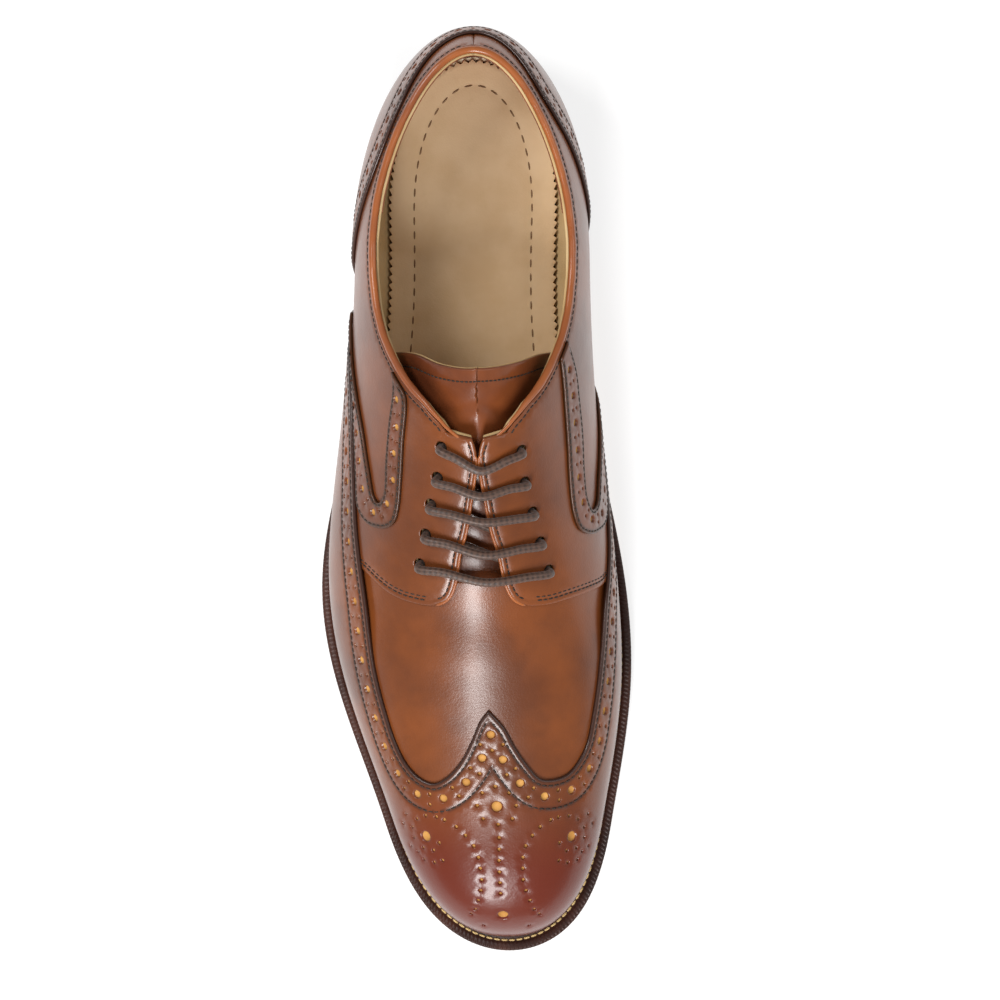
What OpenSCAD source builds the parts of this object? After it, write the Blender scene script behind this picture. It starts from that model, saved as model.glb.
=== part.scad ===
// A man's right wingtip derby shoe: a layered leather upper on a welted sole
// with a stacked heel, closed by a round lace in five straight bars.
// Millimetres. The toe points along -Y, +X is the medial side and +Z is up.
// The origin is on the ground under the middle of the sole's plan.
//
// Every leather layer is a sheet between two depths below one outer surface.
// That surface is a stack of cross-sections along Y. On a section, v runs from
// 0 at the ridge through 0.8 at the widest point to 1 at the feather line.

/* [Upper] */
// Thickness of the wing, counter foxing and facing bands
overlay_t = 1.1; // [0.8:0.1:1.2]
// Thickness of the vamp and of the quarters
upper_t = 1; // [0.8:0.1:1.1]
// Thickness of the toe puff and of the heel stiffener
stiffener_t = 0.9; // [0.6:0.1:1]
// Thickness of the linings
lining_t = 0.8; // [0.6:0.1:1]
// Thickness of the tongue's leather
tongue_t = 1.1; // [0.8:0.1:1.2]
// Diameter of the rolled bead round the collar
bead_d = 2.2; // [1.6:0.1:2.4]

/* [Lacing] */
// Diameter of the round lace
lace_d = 2.8; // [2.2:0.1:3]
// Diameter of the punched eyelets
eyelet_d = 4; // [3.4:0.1:4.4]
// Diameter of the lace's tips
tip_d = 3; // [2.4:0.1:3.4]

/* [Sole] */
// Thickness of the outsole
outsole_t = 5; // [4:0.5:6]
// Thickness of the welt
welt_t = 3.4; // [2.5:0.1:3.8]
// Thickness of the insole board
insole_t = 2.4; // [1.6:0.2:2.4]
// Thickness of the foam footbed
foam_t = 3; // [2:0.5:4]
// Thickness of the leather sock
sock_t = 0.8; // [0.6:0.1:1.2]
// Width of the steel shank
shank_w = 12; // [10:1:16]

/* [Heel] */
// Thickness of the rubber top lift
top_lift_t = 6; // [4:0.5:8]
// Thickness of each leather lift
lift_t = 5; // [4:0.5:6]
// Distance from the origin to the heel's front face
breast_y = 78; // [70:1:86]
// Diameter of the heel nails
nail_d = 2; // [1.6:0.1:2.4]

/* [Hidden] */

// Moves the last's own frame so that the sole's plan is centred on the origin
frame_shift = [0.6, 1.6, 0];
gap = 0.3;
seat_gap = 0.15;

// Depths of the layers below the outer surface
upper_d = overlay_t + gap;
lap_d = upper_d + upper_t + gap;
lining_d = lap_d + stiffener_t + gap;
lace_space = lace_d + 1.2;
tongue_d = lining_d + lining_t + lace_space;
tongue_lining_d = tongue_d + tongue_t + 0.2;

// Section sizes of the last, one for every 32 mm from the toe to the heel
first_y = -160;
step_y = 32;
half_width = [28.6, 29.4, 38.4, 46.8, 48.6, 45.2, 41.2, 39.4, 39, 39, 39];
tuck_under = [1.5, 2, 2.2, 2.4, 3, 5.5, 8, 9.5, 7.5, 6.5, 6.5];
centre_x = [11, 8, 5.6, 1.8, -2, -2.3, -1.9, -1.7, -1.5, -1.2, -1];
ridge_skew = [0, 0, 0.2, 1, 3, 2.6, 2, 1, 0, 0, 0];
full_height = [30, 31.5, 42, 51, 61, 75, 86, 90, 89, 88, 88];
flank_height = [9, 10, 11, 12, 13, 16, 19, 20, 19, 18, 18];
feather_z = [21.5, 14, 10.2, 8.8, 9.4, 13, 20, 26.5, 30, 31, 31];
roundness = [2.3, 2.3, 2.25, 2.1, 1.9, 1.75, 1.6, 1.6, 1.6, 1.6, 1.6];
sole_half_width = [31.8, 33, 41.8, 50.4, 52, 45.5, 36.5, 33.5, 34.8, 36.2, 36.2];
toe_tip_y = -148.3;
sole_toe_y = -153.2;
sole_heel_y = 150;
widest_v = 0.8;
heel_curve_y = 72;
feather_curve_y = 88;

// A cubic B-spline through a list of section sizes
function padded(c) = concat([2 * c[0] - c[1]], c, [2 * c[len(c) - 1] - c[len(c) - 2]]);
function along(c, y) =
    let(s = min(max((y - first_y) / step_y, 0), len(c) - 1.001),
        i = floor(s), u = s - i, p = padded(c))
    (pow(1 - u, 3) * p[i] + (3 * pow(u, 3) - 6 * u * u + 4) * p[i + 1]
     + (-3 * pow(u, 3) + 3 * u * u + 3 * u + 1) * p[i + 2] + pow(u, 3) * p[i + 3]) / 6;
function ramp(x, low, high) = min(max((x - low) / (high - low), 0), 1);
function mix(a, b, t) = a + (b - a) * t;

// How far the section has closed towards the toe, 1 where it is open
function closing(y, start, tip, p, q) = pow(1 - pow(ramp(-y, -start, -tip), p), 1 / q);
function toe_width(y, d) = closing(y, -108, toe_tip_y + d, 2.5, 2);
function toe_height(y, d) = closing(y, -116, toe_tip_y + d, 2.6, 2.1);

// Half width and height of a section at v, at depth d below the surface
function section(y, v, d) =
    let(w = along(half_width, y) - d, low_w = w - along(tuck_under, y),
        top = along(full_height, y) - d, flank = along(flank_height, y),
        n = along(roundness, y),
        a = 90 * ramp(v, widest_v, 0), low = ramp(v, 1, widest_v))
    v < widest_v
        ? [w * pow(cos(a), 2 / n), flank + (top - flank) * pow(sin(a), 2 / n), pow(sin(a), 2)]
        : [low_w + (w - low_w) * sin(90 * low), flank * low, 0];

// The heel's round back: where its curve starts and ends at a height h
function heel_start(h) = heel_curve_y + (feather_curve_y - heel_curve_y) * exp(-h / 8);
function heel_back(h) = h > 20 ? 149 - 8.5 * pow((h - 20) / 35, 2) : 149 - 2.5 * pow((20 - h) / 20, 2);
function heel_width(y, h, d) =
    sqrt(1 - pow(ramp(y, heel_start(h), heel_back(h) - d), 2.1));

// A point of the layer at depth d; v below 0 is the lateral side
function on_last(y, v, d) =
    let(s = section(y, abs(v), d))
    [along(centre_x, y) + sign(v) * s[0] * heel_width(y, s[1], d) * toe_width(y, d)
        + along(ridge_skew, y) * s[2],
     y, along(feather_z, y) + s[1] * toe_height(y, d)];

// Stations round the back part: g below 0 is millimetres in front of the heel
// curve, g above 0 is degrees round the heel, up to 90 at its back
function station_y(g, v, d) =
    let(h = section(heel_curve_y + 40, abs(v), d)[1], start = heel_start(h))
    g < 0 ? heel_curve_y + g + (start - heel_curve_y) * pow(ramp(g, -110, 0), 2)
          : start + (heel_back(h) - d - start) * sin(g);
function round_back(g, v, d) = on_last(station_y(g, v, d), v, d);

// Height of the collar's edge above the ground, by y
collar_z = [[14.5, 92.8], [20, 94.6], [26, 91.5], [33, 87], [42, 82], [48, 78.5], [57, 75],
            [68, 73], [78, 73], [93, 75.5], [107, 79.5], [121, 83.5], [133, 85.5], [142, 86]];
// The v of the height z on the section at y
function v_at_height(y, z, d) =
    let(flank = along(flank_height, y), top = along(full_height, y) - d,
        part = ramp(z - along(feather_z, y) - flank, 0, top - flank))
    widest_v * (1 - asin(pow(part, along(roundness, y) / 2)) / 90);
function collar_v(g, d, drop, v = 0.4, times = 5) =
    times == 0 ? v
    : let(y = station_y(g, v, d))
      collar_v(g, d, drop, v_at_height(y, lookup(y, collar_z) - drop, d), times - 1);

// Edge of the facings at the front slit, and the round front end of each tab
slit_v = [[-38.4, 0.178], [-36.6, 0.126], [-32, 0.1], [-22, 0.082], [-14.5, 0.058],
          [-4.6, 0.038], [3, 0.02], [10, 0.008], [14.5, 0.006]];
tab_v_lateral = [[-38.4, 0.19], [-37.5, 0.25], [-36.7, 0.29], [-34, 0.35], [-31.7, 0.394],
                 [-27, 0.468], [-23, 0.56], [-18, 0.69], [-13, 0.83], [-8, 1]];
tab_v_medial = [[-38.4, 0.19], [-37.8, 0.233], [-36, 0.355], [-31.5, 0.585], [-27, 0.7],
                [-20, 0.83], [-11, 1]];
// Upper edge of the wing: the y where it starts, by v
wing_y_lateral = [[0, -72], [0.03, -75.5], [0.07, -82.5], [0.12, -89], [0.19, -94],
                  [0.26, -96], [0.33, -94.3], [0.39, -89.4], [0.42, -82.4], [0.43, -74.6],
                  [0.44, -60], [0.448, -38], [0.475, -25], [0.51, -12], [0.545, 1.5],
                  [0.59, 15], [0.64, 28], [0.72, 41], [0.79, 47], [0.86, 53], [0.93, 59],
                  [1, 64]];
wing_y_medial = [[0, -72], [0.045, -77.5], [0.08, -84], [0.127, -90], [0.18, -94.2],
                 [0.245, -94.6], [0.32, -93], [0.38, -89], [0.43, -83], [0.454, -75],
                 [0.483, -64], [0.51, -54], [0.566, -38], [0.624, -28], [0.68, -18],
                 [0.735, -5], [0.76, 6], [0.81, 16], [0.87, 27], [0.935, 37], [1, 45]];
// Upper edge of the counter foxing: v by the station round the heel
foxing_v = [[-15, 0.98], [-7, 0.89], [2, 0.81], [12, 0.73], [24, 0.63], [36, 0.565],
            [48, 0.535], [60, 0.53], [72, 0.54], [90, 0.555]];
// Outer and inner edge of each facing band, as pairs of [y, v]
band_lateral = [[[32, 0.33], [36, 0.385]], [[22, 0.325], [26, 0.388]],
                [[12, 0.322], [15, 0.39]], [[1.4, 0.316], [6, 0.388]],
                [[-8, 0.319], [-2.4, 0.38]], [[-12.5, 0.344], [-4.6, 0.392]],
                [[-13, 0.395], [-5, 0.404]], [[-11.5, 0.45], [-4, 0.42]],
                [[-6, 0.51], [-1, 0.445]], [[3, 0.535], [6, 0.473]],
                [[15, 0.575], [18, 0.527]], [[28, 0.625], [29, 0.595]],
                [[40, 0.695], [38, 0.658]], [[50, 0.77], [48, 0.73]],
                [[58, 0.85], [57, 0.81]]];
band_medial = [[[33, 0.435], [35, 0.513]], [[24, 0.432], [27, 0.52]],
               [[14, 0.427], [18, 0.522]], [[2, 0.414], [6, 0.508]],
               [[-9, 0.417], [-3, 0.506]], [[-13.5, 0.445], [-6, 0.525]],
               [[-15, 0.495], [-7, 0.54]], [[-14, 0.57], [-6.6, 0.56]],
               [[-11, 0.65], [-5, 0.585]], [[-4, 0.71], [4, 0.635]],
               [[6, 0.735], [12, 0.69]], [[16, 0.79], [20, 0.75]],
               [[26, 0.85], [29, 0.82]], [[34, 0.91], [36, 0.88]]];
// Rear edge of the vamp and of its lining: y by v
vamp_rear_y = [[0, -31], [0.3, -31], [0.4, -22], [0.5, -12], [0.7, -4], [1, 6]];
vamp_lining_rear_y = [[0, -42], [0.42, -42], [0.5, -34.8], [1, -34.8]];
// The tongue's top edge by v, and its half width in v by y
tongue_top_y = [[-0.55, 43], [-0.4, 41], [-0.27, 36.5], [-0.14, 34], [0, 33.5],
                [0.16, 34.7], [0.31, 37.7], [0.45, 41.5], [0.55, 43]];
tongue_half_v = [[-40, 0.36], [-30, 0.4], [0, 0.46], [25, 0.53], [43, 0.55]];
tongue_base_y = -40;

// v of the columns that the full-width sheets share
shared_v = [0, 0.07, 0.14, 0.21, 0.28, 0.35, 0.42, 0.49, 0.56, 0.63, 0.7, 0.75, 0.8, 0.86, 0.93, 1];
tab_stations = [-109.9, -109.2, -108.5, -107.6, -106.5, -105.3, -103.9, -102.2, -100.2];
middle_stations = [-98, -95.5, -93, -90.5, -88, -85.5, -83, -80.5, -78, -68, -57.5, -48, -38, -26];
heel_stations = [-15, -7, 2, 12, 24, 36, 48, 60, 72, 82, 90];
side_stations = concat(tab_stations, middle_stations, [for (g = heel_stations) min(g, 89.8)]);

// The lace from the tip of one tail to the tip of the other, in the part's frame.
// Rows count from the toe: each row is a bar between its two eyelets.
lace_route = [
    // first tail: forward end on the sock, back and up to the top medial eyelet
    [33.5, -79, 16.2], [34, -66, 15.9], [34, -52, 15.9], [33.5, -38, 16.2], [32.5, -24, 17.2],
    [32, -11, 18.8], [32.5, -2, 22.5], [34, 4, 29], [34.5, 7, 38], [33.5, 8, 48.5],
    [30, 9, 59], [25, 10.5, 68.5], [19, 12, 77],
    // row 5
    [12.5, 14.5, 83], [14, 13, 86], [15, 12, 88.5], [10.5, 10, 90.5], [2, 5.5, 90.5],
    [-6, 10.5, 92], [-11, 13, 91], [-10.5, 14, 88.5], [-9, 15, 85.5],
    // down the lateral side to row 1
    [-14.5, 9.5, 79.5], [-18, -5.5, 70.5], [-20.5, -18.5, 63.5],
    [-16, -22, 64], [-17.5, -23, 67.5], [-18, -24.5, 70], [-10.5, -25.5, 72.5], [3.5, -29.5, 72.5],
    [17, -27, 70.5], [24, -26, 66.5], [23, -25, 64], [21, -24, 61.5],
    // row 2
    [9.5, -21.5, 68.5], [-2, -17.5, 71], [-14, -12, 69.5], [-15.5, -13.5, 72.5],
    [-16, -15, 75], [-9, -16.5, 77], [3, -21, 76.5], [15, -18, 75], [21.5, -17, 72],
    [20.5, -16, 69.5], [18, -15, 66.5],
    // row 3
    [8, -12.5, 73], [-2, -8.5, 76], [-12, -2.5, 75], [-13.5, -4, 78], [-14.5, -5.5, 80.5],
    [-8, -7, 82.5], [2.5, -10.5, 82], [13, -8.5, 80.5], [19, -7.5, 77.5], [18, -6.5, 75],
    [16, -5.5, 72],
    // row 4
    [7, -3.5, 78], [-1.5, 0.5, 81], [-10, 6, 80], [-11.5, 4.5, 83], [-12.5, 3, 85.5],
    [-7, 1.5, 87], [2, -2.5, 86.5], [11, 1, 85.5], [16.5, 2, 83.5], [15.5, 3, 81],
    [13.5, 4.5, 78],
    // second tail: down beside the tongue and forward on the sock
    [20, 1.5, 72], [26, 0, 64], [31, -1.5, 55], [33.5, -3, 45.5], [33.5, -5, 35],
    [31, -10, 25.5], [28.5, -19, 18.5], [28, -32, 16.5], [28.5, -46, 16], [28.5, -60, 15.9],
    [28.5, -74, 16.1], [28.5, -80, 16.3]];
lace_tip_ends = [[31.5, -98.5, 18], [27, -99.5, 18]];

// One value per column, mirrored to the lateral side
function both_sides(list) = concat([for (i = [len(list) - 1 : -1 : 1]) -list[i]], list);

// A closed sheet between two depths. at(i, j, k) is the point of column i and
// row j on the outer face, k = 0, or on the inner face, k = 1. With a pole, all
// columns end in one point. From column other_cut_from on, the cells are cut
// along their other diagonal, so that a symmetrical sheet has symmetrical faces.
module sheet(nu, nv, at, flip = false, pole = false, other_cut_from = 10000) {
    columns = nu + 1;
    rows = nv + 1;
    points = [for (k = [0, 1]) for (i = [0 : nu]) for (j = [0 : nv]) at(i, j, k)];
    function id(k, i, j) = k * columns * rows + (pole && j == nv ? 0 : i) * rows + j;
    function face(p, q, r) = flip ? [p, r, q] : [p, q, r];
    function cut(a, b, c, d, other) =
        c == d ? [face(a, b, c)]
        : b == c ? [face(a, b, d)]
        : other ? [face(a, b, d), face(b, c, d)]
        : [face(a, b, c), face(a, c, d)];
    cells = [for (i = [0 : nu - 1]) for (j = [0 : nv - 1])
        let(other = i >= other_cut_from,
            p = [for (k = [0, 1]) [id(k, i, j), id(k, i + 1, j), id(k, i + 1, j + 1), id(k, i, j + 1)]])
        each concat(cut(p[0][0], p[0][1], p[0][2], p[0][3], other),
                    cut(p[1][0], p[1][3], p[1][2], p[1][1], other))];
    first_edge = [for (i = [0 : nu - 1])
        each [face(id(0, i + 1, 0), id(0, i, 0), id(1, i, 0)),
              face(id(0, i + 1, 0), id(1, i, 0), id(1, i + 1, 0))]];
    last_edge = pole ? [] : [for (i = [0 : nu - 1])
        each [face(id(0, i, nv), id(0, i + 1, nv), id(1, i + 1, nv)),
              face(id(0, i, nv), id(1, i + 1, nv), id(1, i, nv))]];
    side_edges = [for (j = [0 : nv - 1])
        each [face(id(0, 0, j), id(0, 0, j + 1), id(1, 0, j + 1)),
              face(id(0, 0, j), id(1, 0, j + 1), id(1, 0, j)),
              face(id(0, nu, j + 1), id(0, nu, j), id(1, nu, j)),
              face(id(0, nu, j + 1), id(1, nu, j), id(1, nu, j + 1))]];
    polyhedron(points, concat(cells, first_edge, last_edge, side_edges), convexity = 8);
}

// A sheet whose columns run at constant v from a rear edge to the toe's tip
toe_start_y = -108;
toe_rows = 9;
function toward_toe(v, rear, rows, j, d) =
    j <= rows ? on_last(mix(rear, toe_start_y, j / rows), v, d)
              : on_last(mix(toe_start_y, toe_tip_y + d, sin(90 * (j - rows) / toe_rows)), v, d);
module toe_sheet(columns, rear, rows, depth_out, depth_in) {
    sheet(len(columns) - 1, rows + toe_rows,
        function(i, j, k)
            let(v = columns[i], y = rear(v), row_y = mix(y, toe_start_y, min(j / rows, 1)))
            toward_toe(v, y, rows, j, k == 0 ? depth_out(row_y) : depth_in(row_y)),
        pole = true);
}

// A sheet of one side's back part, its rows spread between two values of v
module side_sheet(side, stations, rows, top, bottom, d_out, d_in) {
    sheet(len(stations) - 1, rows,
        function(i, j, k)
            let(d = k == 0 ? d_out : d_in, v = mix(top(stations[i]), bottom(stations[i]), j / rows))
            round_back(stations[i], side * v, d),
        flip = side > 0);
}

// A sheet that wraps round the heel from one side to the other
module heel_sheet(stations, rows, top, bottom, d_out, d_in) {
    last = len(stations) - 1;
    sheet(2 * last, rows,
        function(i, j, k)
            let(g = stations[i <= last ? i : 2 * last - i], side = i <= last ? -1 : 1,
                v = mix(top(g), bottom(g), j / rows))
            round_back(g, side * v, k == 0 ? d_out : d_in),
        other_cut_from = last);
}

// A band between pairs of edge points given as [y, v]
module band_sheet(side, pairs, d_out, d_in) {
    rows = 3;
    sheet(len(pairs) - 1, rows,
        function(i, j, k)
            let(p = mix(pairs[i][0], pairs[i][1], j / rows))
            on_last(p[0], side * p[1], k == 0 ? d_out : d_in),
        flip = side < 0);
}

// A tube through a list of points, each ring square to the path
function unit(a) = a / norm(a);
function heading(path, i) =
    unit(path[min(i + 1, len(path) - 1)] - path[max(i - 1, 0)]);
function turned(a, t) = unit(a - t * (a * t));
function frames(path, i = 0, side = [0.3, 0.1, 1]) =
    i == len(path) ? [] :
    let(t = heading(path, i), a = turned(side, t)) concat([[a, cross(t, a)]], frames(path, i + 1, a));
module tube(path, r, sides = 8) {
    n = len(path);
    f = frames(path);
    points = [for (i = [0 : n - 1]) for (s = [0 : sides - 1])
        path[i] + r * (cos(360 * s / sides) * f[i][0] + sin(360 * s / sides) * f[i][1])];
    walls = [for (i = [0 : n - 2]) for (s = [0 : sides - 1])
        let(a = i * sides + s, b = i * sides + (s + 1) % sides)
        each [[a, b + sides, b], [a, a + sides, b + sides]]];
    ends = [[for (s = [0 : sides - 1]) s], [for (s = [sides - 1 : -1 : 0]) (n - 1) * sides + s]];
    polyhedron(points, concat(walls, ends), convexity = 20);
}

// Plan outlines, as [x, y]; the first is the sole's, the second the feather line's
plan_rows = 40;
function plan_y(front, back, i) = mix(front, back, (1 - cos(180 * i / plan_rows)) / 2);
function mirrored(front, back, half) = concat(
    [for (i = [0 : plan_rows]) let(y = plan_y(front, back, i)) [along(centre_x, y) + half(y), y]],
    [for (i = [plan_rows - 1 : -1 : 1]) let(y = plan_y(front, back, i)) [along(centre_x, y) - half(y), y]]);
module sole_plan(inset = 0) {
    tip = sole_toe_y + inset;
    back = sole_heel_y - inset;
    polygon(mirrored(tip, back, function(y)
        (along(sole_half_width, y) - inset) * closing(y, -110, tip, 2.5, 2)
        * sqrt(1 - pow(ramp(y, feather_curve_y, back), 2.1))));
}
module feather_plan(inset) {
    tip = toe_tip_y + inset;
    back = heel_back(0) - inset;
    polygon(mirrored(tip, back, function(y)
        (along(half_width, y) - along(tuck_under, y) - inset) * closing(y, -108, tip, 2.5, 2)
        * sqrt(1 - pow(ramp(y, feather_curve_y, back), 2.1))));
}

// A slab of the children's plan between two heights over the feather line
profile_step = 6;
module curved_slab(low, high) {
    ys = [for (y = [-156 : profile_step : 156]) y];
    outline = concat([for (y = ys) [y, along(feather_z, y) + low]],
                     [for (i = [len(ys) - 1 : -1 : 0]) [ys[i], along(feather_z, ys[i]) + high]]);
    intersection() {
        linear_extrude(60) children();
        translate([-80, 0, 0]) rotate([90, 0, 90]) linear_extrude(160) polygon(outline);
    }
}
outsole_top = -4;
outsole_bottom = outsole_top - outsole_t;
insole_top = 1;
insole_bottom = insole_top - insole_t;
foam_bottom = insole_top + seat_gap;
sock_bottom = foam_bottom + foam_t + seat_gap;

// The heel's plan: the back of the sole behind a hollow front face
module heel_plan() {
    breast_r = 140;
    difference() {
        intersection() {
            sole_plan(0.8);
            translate([-60, breast_y - 4]) square([120, 90]);
        }
        translate([-1.5, breast_y - breast_r]) circle(r = breast_r, $fn = 180);
    }
}
nail_places = [[-17, 96], [14, 96], [-22, 118], [19, 118], [-1.5, 136]];
module at_nails() {
    for (p = nail_places) translate([p[0], p[1], top_lift_t + seat_gap]) children();
}
nail_top_z = 24.5;
module nail_holes() {
    at_nails() cylinder(d = nail_d + 0.1, h = 30, $fn = 32);
}

module top_lift() {
    color("#2a211d") translate(frame_shift) linear_extrude(top_lift_t) heel_plan();
}
module heel_lifts() {
    second_z = top_lift_t + lift_t;
    third_z = second_z + lift_t;
    color("#4a2417") translate(frame_shift) difference() {
        union() {
            translate([0, 0, top_lift_t + seat_gap])
                linear_extrude(lift_t - seat_gap) heel_plan();
            translate([0, 0, second_z + seat_gap])
                linear_extrude(lift_t - seat_gap) heel_plan();
            intersection() {
                translate([0, 0, third_z + seat_gap]) linear_extrude(20) heel_plan();
                curved_slab(-40, outsole_bottom - seat_gap) heel_plan();
            }
        }
        nail_holes();
    }
}
module heel_nails() {
    color("#8d8f92") translate(frame_shift) at_nails()
        cylinder(d = nail_d, h = nail_top_z - top_lift_t - seat_gap, $fn = 32);
}
module outsole() {
    color("#3a2620") translate(frame_shift) difference() {
        curved_slab(outsole_bottom, outsole_top) sole_plan();
        nail_holes();
    }
}
module welt() {
    color("#3b1f17") translate(frame_shift)
        curved_slab(outsole_top + 0.1, outsole_top + 0.1 + welt_t)
        difference() {
            sole_plan();
            feather_plan(4);
        }
}
module shank_plan(room) {
    translate([-2 - shank_w / 2 - room, -24 - room]) square([shank_w + 2 * room, 104 + 2 * room]);
}
module cork_filler() {
    color("#b08a5a") translate(frame_shift)
        curved_slab(outsole_top + 0.1, insole_bottom - 0.1)
        difference() {
            feather_plan(4.4);
            shank_plan(0.3);
        }
}
module steel_shank() {
    color("#9a9da1") translate(frame_shift)
        curved_slab(outsole_top + 0.6, insole_bottom - 0.6) shank_plan(0);
}
module insole_board() {
    color("#c9a877") translate(frame_shift)
        curved_slab(insole_bottom, insole_top) feather_plan(lining_d + lining_t + 0.5);
}
module footbed_foam() {
    color("#e0d6bf") translate(frame_shift)
        curved_slab(foam_bottom, foam_bottom + foam_t) feather_plan(lining_d + lining_t + 0.9);
}
module sock_lining() {
    color("#d9bd92") translate(frame_shift)
        curved_slab(sock_bottom, sock_bottom + sock_t) feather_plan(lining_d + lining_t + 1.6);
}

module vamp() {
    // The vamp sinks by one layer before it runs under the quarters
    function sunk(y, from, to) = mix(from, to, ramp(y, -60, -40));
    color("#b0602f") translate(frame_shift)
        toe_sheet(both_sides(shared_v), function(v) lookup(abs(v), vamp_rear_y), 8,
            function(y) sunk(y, upper_d, lap_d),
            function(y) sunk(y, upper_d + upper_t, lap_d + stiffener_t));
}
module wing_cap() {
    lateral = [for (p = wing_y_lateral) -p[0]];
    medial = [for (p = wing_y_medial) p[0]];
    columns = concat([for (i = [len(lateral) - 1 : -1 : 0]) lateral[i]],
                     [for (i = [1 : len(medial) - 1]) medial[i]]);
    color("#9a4a26") translate(frame_shift)
        toe_sheet(columns,
            function(v) v < 0 ? lookup(-v, wing_y_lateral) : lookup(v, wing_y_medial),
            12, function(y) 0, function(y) overlay_t);
}
module toe_puff() {
    color("#c8b48c") translate(frame_shift)
        toe_sheet(both_sides(shared_v), function(v) -102, 1,
            function(y) lap_d, function(y) lap_d + stiffener_t);
}
module vamp_lining() {
    color("#dcc9a0") translate(frame_shift)
        toe_sheet(both_sides(shared_v), function(v) lookup(abs(v), vamp_lining_rear_y), 6,
            function(y) lining_d, function(y) lining_d + lining_t);
}

// The five eyelets of one side, from the toe up, as [y, v]
eyelets_lateral = [[-25, 0.228], [-15.5, 0.211], [-6, 0.198], [2.5, 0.179], [12, 0.171]];
eyelets_medial = [[-27, 0.275], [-18, 0.251], [-8.5, 0.232], [1, 0.212], [11, 0.211]];
function outward(y, v) =
    let(p = on_last(y, v, upper_d), a = on_last(y + 1, v, upper_d) - p,
        b = on_last(y, v + sign(v) * 0.01, upper_d) - p)
    unit(cross(a, b) * -sign(v));
module eyelet_holes(side, places) {
    for (e = places) {
        v = side * e[1];
        n = outward(e[0], v);
        translate(on_last(e[0], v, upper_d) - 8 * n)
            rotate([0, acos(n[2]), atan2(n[1], n[0])])
            cylinder(d = eyelet_d, h = 12, $fn = 32);
    }
}
function facing_top(g, d, drop) =
    let(y = station_y(g, 0.1, d))
    y <= 14.6 ? lookup(y, slit_v) : max(collar_v(g, d, drop), 0.006);
module quarter(side, tab_v, places) {
    difference() {
        side_sheet(side, side_stations, 12,
            function(g) facing_top(g, upper_d, 1.3),
            function(g) lookup(station_y(g, 0.3, 0), tab_v),
            upper_d, upper_d + upper_t);
        eyelet_holes(side, places);
    }
}
module quarter_lateral() {
    color("#b26433") translate(frame_shift) quarter(-1, tab_v_lateral, eyelets_lateral);
}
module quarter_medial() {
    color("#b26433") translate(frame_shift) quarter(1, tab_v_medial, eyelets_medial);
}
module quarter_lining(side, places) {
    front_g = -106.5;
    difference() {
        side_sheet(side, [for (g = side_stations) if (g >= front_g) g], 12,
            function(g) facing_top(g, lining_d, 1.3) + 0.004,
            function(g) 1,
            lining_d, lining_d + lining_t);
        eyelet_holes(side, places);
    }
}
module quarter_lining_lateral() {
    color("#dcc9a0") translate(frame_shift) quarter_lining(-1, eyelets_lateral);
}
module quarter_lining_medial() {
    color("#dcc9a0") translate(frame_shift) quarter_lining(1, eyelets_medial);
}
module counter_foxing() {
    color("#a85a2d") translate(frame_shift)
        heel_sheet(heel_stations, 7, function(g) lookup(g, foxing_v), function(g) 1, 0, overlay_t);
}
module heel_stiffener() {
    color("#c8b48c") translate(frame_shift)
        heel_sheet(heel_stations, 7, function(g) 0.61 + 0.2 * ramp(g, 20, -15), function(g) 1,
            lap_d, lap_d + stiffener_t);
}
module facing_band_lateral() {
    color("#a85a2d") translate(frame_shift) band_sheet(-1, band_lateral, 0, overlay_t);
}
module facing_band_medial() {
    color("#a85a2d") translate(frame_shift) band_sheet(1, band_medial, 0, overlay_t);
}
module collar_bead() {
    bead_depth = (upper_d + lining_d + lining_t) / 2;
    half = [for (g = [-55, -51, -47, -42, -36, -30, -24, -18, -12, -6, 0, 8, 16, 24, 32,
                      40, 48, 56, 64, 72, 80, 86])
        round_back(g, -collar_v(g, bead_depth, 0), bead_depth)];
    other = [for (g = [90, 86, 80, 72, 64, 56, 48, 40, 32, 24, 16, 8, 0, -6, -12, -18,
                       -24, -30, -36, -42, -47, -51, -55])
        round_back(g, collar_v(g, bead_depth, 0), bead_depth)];
    color("#b8692f") translate(frame_shift) tube(concat(half, other), bead_d / 2, 6);
}

// The tongue's leather rises from the lining's depth to pass below the lace
function tongue_depth(y, d) = mix(lining_d + d - tongue_d, d, ramp(y, -40, -30));
module tongue_sheet(d, t, shrink) {
    columns = 12;
    rows = 12;
    sheet(columns, rows,
        function(i, j, k)
            let(a = 2 * i / columns - 1,
                top = lookup(a * 0.5, tongue_top_y) - shrink,
                y = mix(tongue_base_y + shrink, top, j / rows),
                v = a * (lookup(y, tongue_half_v) - shrink / 100))
            on_last(y, v == 0 ? 0.0001 : v, tongue_depth(y, d + (k == 0 ? 0 : t))),
        flip = true);
}
module tongue() {
    color("#8c4a22") translate(frame_shift) tongue_sheet(tongue_d, tongue_t, 0);
}
module tongue_lining() {
    color("#c9a877") translate(frame_shift) tongue_sheet(tongue_lining_d, 0.7, 1);
}

module lace() {
    color("#3a2a24") tube(lace_route, lace_d / 2);
}
module rod(from, to, d) {
    a = to - from;
    translate(from) rotate([0, acos(a[2] / norm(a)), atan2(a[1], a[0])])
        cylinder(d = d, h = norm(a), $fn = 24);
}
module lace_tips() {
    last = len(lace_route) - 1;
    color("#2a201c") {
        rod(lace_route[0], lace_tip_ends[0], tip_d);
        rod(lace_route[last], lace_tip_ends[1], tip_d);
    }
}

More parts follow.
